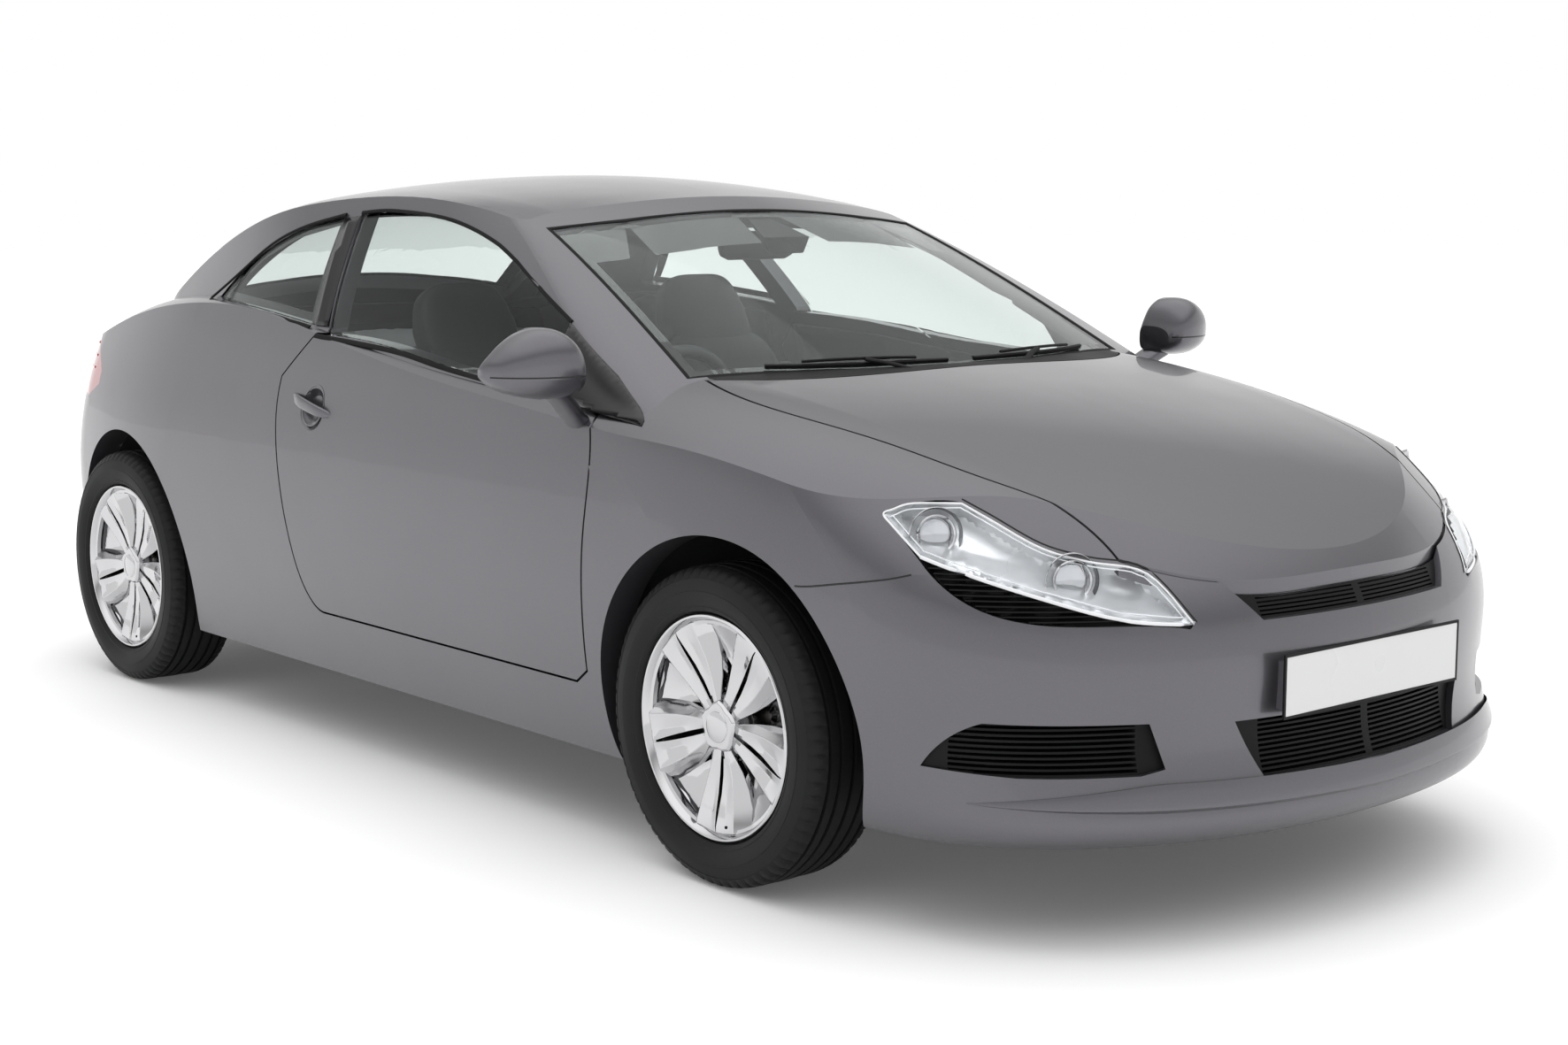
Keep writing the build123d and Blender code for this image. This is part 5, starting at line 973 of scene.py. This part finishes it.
def make_window_trim():
    panels = skin("body_side_left", "front_wing_left", "door_left")
    side_tree = FairSkin(panels, from_side, WINDOW_TOP + QUARTER_EDGE, 0.02, 0.006)
    cover = panel(FairSkin(panels, from_side, PILLAR_COVER, 0.07, 0.006), from_side, PILLAR_COVER, 0.0012,
                  0.02)
    for piece in on_both_sides("pillar_cover", cover, "root", *GLOSS):
        thickened(piece, 0.001)
    corner = FairSkin(panels, from_side, MIRROR_COVER, 0.05, 0.06)
    triangle = panel(corner, from_side, MIRROR_COVER, 0.0028, 0.010)
    for piece in on_both_sides("mirror_cover", triangle, "root", *GLOSS):
        thickened(piece, 0.001)
    outward = (0, 0.8, 0.6)
    top = line_on(side_tree, from_side, curve_through(WINDOW_TOP, 8))
    quarter = line_on(side_tree, from_side,
                      curve_through(QUARTER_EDGE[:5], 6)[:-1] + curve_through(QUARTER_EDGE[4:], 6))
    seals = joined([sweep(line, bead(0.009, 0.0025), outward) for line in (top, quarter)])
    on_both_sides("window_seal", seals, "root", *RUBBER, 60.0)
    door_tree = FairSkin(skin("door_left"), from_side, DOOR_TOP, 0.05, 0.004)
    belt = line_on(door_tree, from_side, [(x, z - 0.0055) for x, z in curve_through(DOOR_TOP, 8)])
    on_both_sides("belt_seal", sweep(belt, bead(0.012, 0.0025), outward), ON_DOOR, *RUBBER, 60.0)
    sizes = plane_of(from_above)
    panes = (("screen", full(WINDSCREEN), skin("windscreen"), "root", 0.034, (0.4, 0, 1)),
             ("rear", full(REAR_WINDOW), skin("tailgate_window"), "tailgate", 0.045, (-0.4, 0, 1)))
    for name, outline, tree, body, margin, outward in panes:
        edge = dense(inset(outline, sizes, 0.002), 0.03, sizes)
        hole = dense(inset(outline, sizes, margin), 0.03, sizes)
        border = panel(tree, from_above, edge, -0.0062, 0.03, hole=hole, sizes=sizes)
        make(f"{name}_border", *border, body, *GLOSS)
    for name, outline, tree, body, margin, outward in panes:
        loop = dense(inset(outline, sizes, 0.006), 0.02, sizes)
        ring = line_on(tree, from_above, loop + loop[:2])
        make(f"{name}_seal", *sweep(ring, bead(0.012, 0.0022), outward), body, *RUBBER, 60.0)
    sizes = plane_of(from_side)
    edge = inset(QUARTER_EDGE, sizes, 0.008)
    fair = FairSkin(skin("quarter_window_left"), from_side, edge, 0.02, 0.0)
    border = panel(fair, from_side, edge, -0.0065, 0.02, hole=inset(QUARTER_EDGE, sizes, 0.026), sizes=sizes)
    on_both_sides("quarter_border", border, "root", *GLOSS)


def make_cabin_lining():
    for name, node, outline, body in (("door_card", "door_left", DOOR_CARD, ON_DOOR),
                                      ("quarter_card", "body_side_left", QUARTER_CARD, "root")):
        fair = FairSkin(skin(node), from_inside, outline, 0.0, 0.05)
        card = panel(fair, from_inside, outline, CARD_LIFT, 0.04)
        for piece in on_both_sides(name, card, body, *DASH):
            thickened(piece, CARD_THICKNESS)
    outline = full(HEADLINER)
    fair = FairSkin(skin("roof_panel"), from_below, outline, 0.0, 0.0)
    roof = panel(fair, from_below, outline, CARD_LIFT, 0.05)
    thickened(make("roof_lining", *roof, "root", *LINING), 0.006)
    shelf = [(-1.395, y, 0.905 - 0.03 * abs(y)) for y in SHELF_Y]
    front = [(-1.195, y, 0.865) for y in SHELF_Y]
    verts, faces = rings([shelf, front], closed=False, caps=False)
    bevelled(thickened(make("parcel_shelf", verts, faces, "root", *LINING), 0.014), 0.003)


def pad_mesh(size, power=0.30, columns=28, rows=20, channels=0, crown=0.0, taper=0.0):
    """A crowned pad about its middle: rounded sides, sewn channels across its top, and a taper towards +Z."""
    verts = []
    for i in range(rows + 1):
        v = -pi / 2 + pi * i / rows
        sv, level = sin(v), eased(cos(v), power)
        for cu, su in around(columns * 2):
            x, y, z = level * eased(cu, power), level * eased(su, power), eased(sv, power)
            narrow = 1 - taper * max(0, z)
            push = 1 + crown * (1 - y * y) * (1 if abs(x) > 0.5 else 0)
            if channels and x > 0.3:
                wave = abs(sin(channels * pi * (z + 1) / 2))
                push -= 0.10 * exp(-(wave / 0.16) ** 2)
            verts.append((x * size[0] / 2 * push, y * size[1] / 2 * narrow, z * size[2] / 2))
    return verts, grid(rows + 1, columns * 2)


def padded_piece(name, mesh_data, body):
    piece = make(name, *mesh_data, body, "seat_cover", "seat_cloth", 60.0)
    weld = piece.modifiers.new("weld", "WELD")
    weld.merge_threshold = 0.0005
    return piece


def make_seats():
    lean = Matrix.Rotation(radians(SEAT_LEAN), 4, "Y")
    flat = Matrix.Rotation(radians(-90), 4, "Y")
    for side, sign in SIDES.items():
        y = SEAT_Y * sign
        cushion = moved(pad_mesh((0.125, 0.48, 0.49), 0.32, 56, 44, channels=5, crown=0.10), flat)
        cushion = moved(cushion, Matrix.Translation((0.080, y, 0.396)))
        base = padded_piece(f"seat_cushion_{side}", cushion, "root")
        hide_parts(f"front_seat_{side}")
        place = Matrix.Translation((-0.060, y, 0.395)) @ lean
        back = pad_mesh((0.105, 0.48, 0.60), 0.34, 56, 44, channels=6, crown=0.12, taper=0.24)
        head = pad_mesh((0.090, 0.270, 0.215), 0.42, 40, 32, crown=0.10, taper=0.22)
        for name, pad, spot in (("back", back, (-0.054, 0, 0.300)), ("head", head, (-0.050, 0, 0.655))):
            padded_piece(f"seat_{name}_{side}", moved(pad, place @ Matrix.Translation(spot)), "root")
        for edge in (-1, 1):
            bolster = moved(pad_mesh((0.085, 0.075, 0.46), 0.5, 24, 28),
                            place @ Matrix.Translation((-0.022, edge * 0.205, 0.270)))
            padded_piece(f"seat_bolster_{side}_{'a' if edge < 0 else 'b'}", bolster, "root")
        foot = [[(x, y + w, z) for x, w in ((-0.04, -0.165), (0.20, -0.165), (0.20, 0.165), (-0.04, 0.165))]
                for z in (0.217, 0.350)]
        bevelled(make(f"seat_frame_{side}", *rings(foot), "root", *PLASTIC), 0.01)
    bench = moved(pad_mesh((0.125, 1.03, 0.39), 0.25, 70, 40, channels=3, crown=0.06), flat)
    piece = padded_piece("bench_cushion", moved(bench, Matrix.Translation((-0.900, 0, 0.405))), "root")
    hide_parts("rear_bench")
    back = moved(pad_mesh((0.100, 1.03, 0.42), 0.25, 70, 40, channels=4, crown=0.06, taper=0.08),
                 Matrix.Translation((-0.990, 0, 0.342)) @ lean @ Matrix.Translation((-0.052, 0, 0.275)))
    padded_piece("bench_back", back, "root")


def make_cabin_details():
    """Interior mirror with its sensor housing, and the dials' hood."""
    widths = ((-0.112, 0.35), (-0.105, 0.75), (-0.085, 1), (0, 1), (0.085, 1), (0.105, 0.75), (0.112, 0.35))
    sections = [[(0.300 + 0.013 * c * w, y, 1.178 + 0.033 * w * eased(q, 0.6)) for c, q in around(20)]
                for y, w in widths]
    make("cabin_mirror", *rings(sections), "root", *PLASTIC, 50.0)
    tree = skin("windscreen")
    housing = []
    for station, width, drop in ((1.378, 0.020, 0.010), (1.360, 0.050, 0.034), (1.345, 0.062, 0.038),
                                 (1.325, 0.030, 0.012)):
        ring = []
        for share, low in ((-1, 0), (-0.7, 1), (0.7, 1), (1, 0)):
            place = laid(tree, from_above, (station + 0.02, share * width / HALF_WIDTH), -0.009 - drop * low)
            ring.append(tuple(place))
        housing.append(ring)
    bevelled(make("sensor_housing", *rings(housing), "root", *PLASTIC, 40.0), 0.003)
    stem = sweep([(0.305, 0, 1.190), (0.312, 0, 1.205), (0.318, 0, 1.222)], bead(0.018, 0.006), (1, 0, 0))
    make("mirror_stem", *stem, "root", *PLASTIC, 50.0)
    hood = []
    for x, drop in ((0.585, 0.012), (0.600, 0.0), (0.70, -0.006), (0.78, 0.004)):
        hood.append([(x, -SEAT_Y + w, 0.885 - drop - abs(w) ** 2 * 2.2 + h) for w, h in
                     [(k * 0.02 - 0.16, 0) for k in range(17)] + [(0.16 - k * 0.02,
                                                                   -0.018) for k in range(17)]])
    make("dial_hood", *rings(hood), "root", *DASH, 50.0)
    boss = moved(lathe([(-0.020, CORE), (-0.020, 0.056), (-0.028, 0.050), (-0.033, 0.030),
                        (-0.034, CORE)], 40),
                 Matrix.Translation(STEERING_BOSS) @ Matrix.Rotation(radians(STEERING_TILT), 4, "Y")
                 @ Matrix.Rotation(radians(-90), 4, "Z"))
    make("wheel_boss", *boss, "steering_wheel", *DASH, 50.0)


def make_bumper_lines():
    """The shut line over the front bumper, and the lip under its openings."""
    front = skin("front_bumper", "front_wing")
    line = curve_through(((0.800, 0.456), (0.720, 0.456), (0.630, 0.466), (0.530, 0.478), (0.484, 0.4865)), 6)
    seam = sweep(line_on(front, from_side, line), bead(0.0036, 0.0006), (0.2, 1, 0))
    on_both_sides("bumper_shut_line", seam, "root", *GLOSS, 60.0)
    hull, edge = skin("front_bumper", "side_intake", "lower_grille", "upper_grille"), []
    for k in range(49):
        angle = radians(-LIP_HALF_ANGLE + 2 * LIP_HALF_ANGLE * k / 48)
        aim = Vector((cos(angle), sin(angle), 0))
        middle = Vector((LIP_CENTRE_X, 0, LIP_Z - 0.012 * (1 - abs(k - 24) / 24)))
        hit = hull.ray_cast(middle + aim * 1.5, -aim)[0]
        if hit:
            edge.append((hit, aim))
    section = ((-0.040, -0.002), (-0.034, 0.0004), (-0.002, 0.0125), (0.003, 0.0120), (0.012, 0.0010),
               (0.018, -0.002))
    loops = []
    for k, (point, aim) in enumerate(edge):
        share = min(1, (k + 0.5) / 9, (len(edge) - k - 0.5) / 9)
        loops.append([tuple(point + aim * (out * share) + Vector((0, 0, -rise * share))) for rise,
                      out in section])
    bevelled(make("bumper_lip", *rings(loops), "root", *PAINT, 35.0), 0.0012)


def make_tail_lamps():
    """Dark backs on the lamps' inner faces, and light guides over their lenses."""
    for side, sign in SIDES.items():
        lamp = NODES[f"tail_lamp_{side}"].data
        verts, faces = [], []
        for polygon in lamp.polygons:
            inward = Vector(TAIL_INSIDE) - polygon.center
            if polygon.normal.dot(inward.normalized()) > 0.25:
                faces.append(tuple(range(len(verts), len(verts) + len(polygon.vertices))))
                verts += [tuple(lamp.vertices[i].co + polygon.normal * 0.0015) for i in polygon.vertices]
        make(f"tail_lamp_back_{side}", verts, faces, "root", "roof_lining", "black_trim", 0)
    tree, guides = skin("tail_lamp_left"), []
    for level, start, end in ((0.612, 0.70, 0.89), (0.636, 0.70, 0.875), (0.660, 0.70, 0.845)):
        path = []
        for k in range(15):
            origin = Vector((-FAR, (start + (end - start) * k / 14) * HALF_WIDTH, level * HEIGHT))
            hit = tree.ray_cast(origin, Vector((1, 0, 0)))[0]
            if hit:
                path.append(tuple(hit))
        if len(path) > 3:
            guides.append(sweep(path, bead(0.0075, 0.0022), (-0.7, 0.7, 0)))
    on_both_sides("tail_lamp_guides", joined(guides), "root", "tail_bright", "lamp_red", 60.0)


def make_plates():
    """A raised rim and a thin dark holder round each blank plate."""
    for name, z, sign in (("front", 0.451, 1), ("rear", 0.470, -1)):
        node = f"{name}_plate"
        low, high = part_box(node)
        face = high.x if sign > 0 else low.x
        path = [(face, side * PLATE_HALF_Y, z + level * PLATE_HALF_Z)
                for side, level in ((-1, -1), (1, -1), (1, 1), (-1, 1))]
        verts = []
        for grow, out in ((0.0028, -0.0035), (0.0028, 0.0006), (-0.0018, 0.0010), (-0.0024, -0.0002)):
            for px, py, pz in path:
                verts.append((px + sign * out, py + (grow if py > 0 else -grow),
                              pz + (grow if pz > z else -grow)))
        make(f"{name}_plate_rim", verts, grid(4, 4), "root", *PLASTIC, 30.0)


def background_rays(tree):
    """A mask of the rays that see the plain background: camera, glossy and transmission rays."""
    path = add_node(tree, "ShaderNodeLightPath").outputs
    direct = maths(tree, "MAXIMUM", path["Is Camera Ray"], path["Is Glossy Ray"])
    return maths(tree, "MAXIMUM", direct, path["Is Transmission Ray"])


def make_stage(settings):
    scene = bpy.context.scene
    camera = bpy.data.cameras.new("camera")
    camera.sensor_width = SENSOR_WIDTH
    camera.lens = settings.focal
    camera.clip_end = VIEW_LIMIT
    holder = bpy.data.objects.new("camera", camera)
    scene.collection.objects.link(holder)
    holder.location = CAMERA_PLACE
    level = cos(CAMERA_PITCH)
    aim = Vector((cos(CAMERA_YAW) * level, sin(CAMERA_YAW) * level, -sin(CAMERA_PITCH)))
    holder.rotation_euler = aim.to_track_quat("-Z", "Y").to_euler()
    scene.camera = holder
    scene.view_settings.view_transform = "Standard"
    half = FLOOR_HALF
    mesh = bpy.data.meshes.new("floor")
    mesh.from_pydata([(-half, -half, 0), (half, -half, 0), (half, half, 0), (-half, half, 0)], [],
                     [(0, 1, 2, 3)])
    floor = bpy.data.objects.new("floor", mesh)
    scene.collection.objects.link(floor)
    material = bpy.data.materials.new("studio_floor")
    material.use_nodes = True
    shader = material.node_tree.nodes["Principled BSDF"]
    for label, value in (("Base Color", (FLOOR_WHITE, FLOOR_WHITE, FLOOR_WHITE, 1)), ("Roughness", 0.9),
                         ("Specular IOR Level", 0.0), ("Emission Color", (1, 1, 1, 1))):
        shader.inputs[label].default_value = value
    glow = maths(material.node_tree, "MULTIPLY", background_rays(material.node_tree), FLOOR_GLOW)
    material.node_tree.links.new(glow, shader.inputs["Emission Strength"])
    mesh.materials.append(material)
    world = bpy.data.worlds.new("studio")
    scene.world = world
    world.use_nodes = True
    tree = world.node_tree
    background = tree.nodes["Background"]
    background.inputs["Color"].default_value = (1, 1, 1, 1)
    place = add_node(tree, "ShaderNodeTexCoord").outputs["Generated"]
    rise = add_node(tree, "ShaderNodeSeparateXYZ", {"Vector": place}).outputs["Z"]

    def band(low, high, start, end):
        """Strength that goes from start to end between two heights of the sky."""
        return add_node(tree, "ShaderNodeMapRange", {
            "From Min": low, "From Max": high, "To Min": start, "To Max": end, "Value": rise},
            interpolation_type="SMOOTHSTEP").outputs["Result"]

    path = add_node(tree, "ShaderNodeLightPath").outputs
    seen = maths(tree, "MAXIMUM", path["Is Camera Ray"], path["Is Transmission Ray"])
    mirrored = maths(tree, "MULTIPLY", path["Is Glossy Ray"], band(*HORIZON_BAND, 1.0, 0.0))
    level = maths(tree, "MAXIMUM", maths(tree, "MAXIMUM", seen, mirrored), settings.ambient)
    overhead = band(*OVERHEAD_BAND, 0.0, settings.softbox)
    tree.links.new(maths(tree, "ADD", level, overhead), background.inputs["Strength"])
    lamp = bpy.data.lights.new("top_light", "SUN")
    lamp.angle = radians(TOP_LIGHT_ANGLE)
    lamp.energy = settings.key
    light = bpy.data.objects.new("top_light", lamp)
    light.visible_glossy = False
    scene.collection.objects.link(light)
    light.rotation_euler = Vector(TOP_LIGHT_AIM).to_track_quat("-Z", "Y").to_euler()


# Operators, one for each group of pieces

def operator(suffix, label, words, work, *settings):
    """An operator that runs one function with the groups of settings named after it."""
    def execute(self, context):
        work(*[getattr(context.scene, name) for name in settings])
        return {"FINISHED"}
    return type("COUPE_OT_" + suffix, (Operator,), {
        "__doc__": words, "bl_idname": "coupe." + suffix, "bl_label": label,
        "bl_options": {"REGISTER", "UNDO"}, "execute": execute})


OPERATORS = (
    operator("finishes", "Finishes", "Give each node its material", dress_nodes, "coupe_paint"),
    operator("tyres", "Tyres", "Make the four tyres", make_tyres, "coupe_wheels"),
    operator("rims", "Rims", "Make the bladed rims and hubs", make_rims, "coupe_wheels"),
    operator("headlamps", "Headlamps", "Make the headlamps and their grilles", make_headlamps),
    operator("mirrors", "Mirrors", "Make the door mirrors", make_mirrors),
    operator("handles", "Handles", "Make the door handles", make_handles),
    operator("wipers", "Wipers", "Make the wiper arms", make_wipers),
    operator("window_trim", "Window trim", "Make the seals, borders and covers", make_window_trim),
    operator("cabin_lining", "Cabin lining", "Make the door cards and the roof lining", make_cabin_lining),
    operator("seats", "Seats", "Make the seats", make_seats),
    operator("cabin_details", "Cabin details", "Make the cabin mirror and the dials' hood",
             make_cabin_details),
    operator("tail_lamps", "Tail lamps", "Make the tail lamps' backs and guides", make_tail_lamps),
    operator("bumper_lines", "Bumper lines", "Make the bumper's shut line and lip", make_bumper_lines),
    operator("plates", "Plates", "Make the rims of the blank plates", make_plates),
    operator("stage", "Stage", "Make the camera, floor and lights", make_stage, "coupe_stage"),
)


class COUPE_PT_panel(Panel):
    """Lists the operators and settings of the coupe"""
    bl_label = "Coupe"
    bl_idname = "COUPE_PT_panel"
    bl_space_type = "VIEW_3D"
    bl_region_type = "UI"
    bl_category = "Coupe"

    def draw(self, context):
        for group in (context.scene.coupe_paint, context.scene.coupe_wheels, context.scene.coupe_stage):
            for name in group.__annotations__:
                self.layout.prop(group, name)
        for item in OPERATORS:
            self.layout.operator(item.bl_idname)


CLASSES = (CoupePaint, CoupeWheels, CoupeStage, *OPERATORS, COUPE_PT_panel)


def register():
    for item in CLASSES:
        bpy.utils.register_class(item)
    bpy.types.Scene.coupe_paint = PointerProperty(type=CoupePaint)
    bpy.types.Scene.coupe_wheels = PointerProperty(type=CoupeWheels)
    bpy.types.Scene.coupe_stage = PointerProperty(type=CoupeStage)


def unregister():
    del bpy.types.Scene.coupe_paint
    del bpy.types.Scene.coupe_wheels
    del bpy.types.Scene.coupe_stage
    for item in reversed(CLASSES):
        bpy.utils.unregister_class(item)


def main():
    register()
    for item in OPERATORS:
        getattr(bpy.ops.coupe, item.bl_idname.split(".")[1])()


if __name__ == "__main__":
    main()
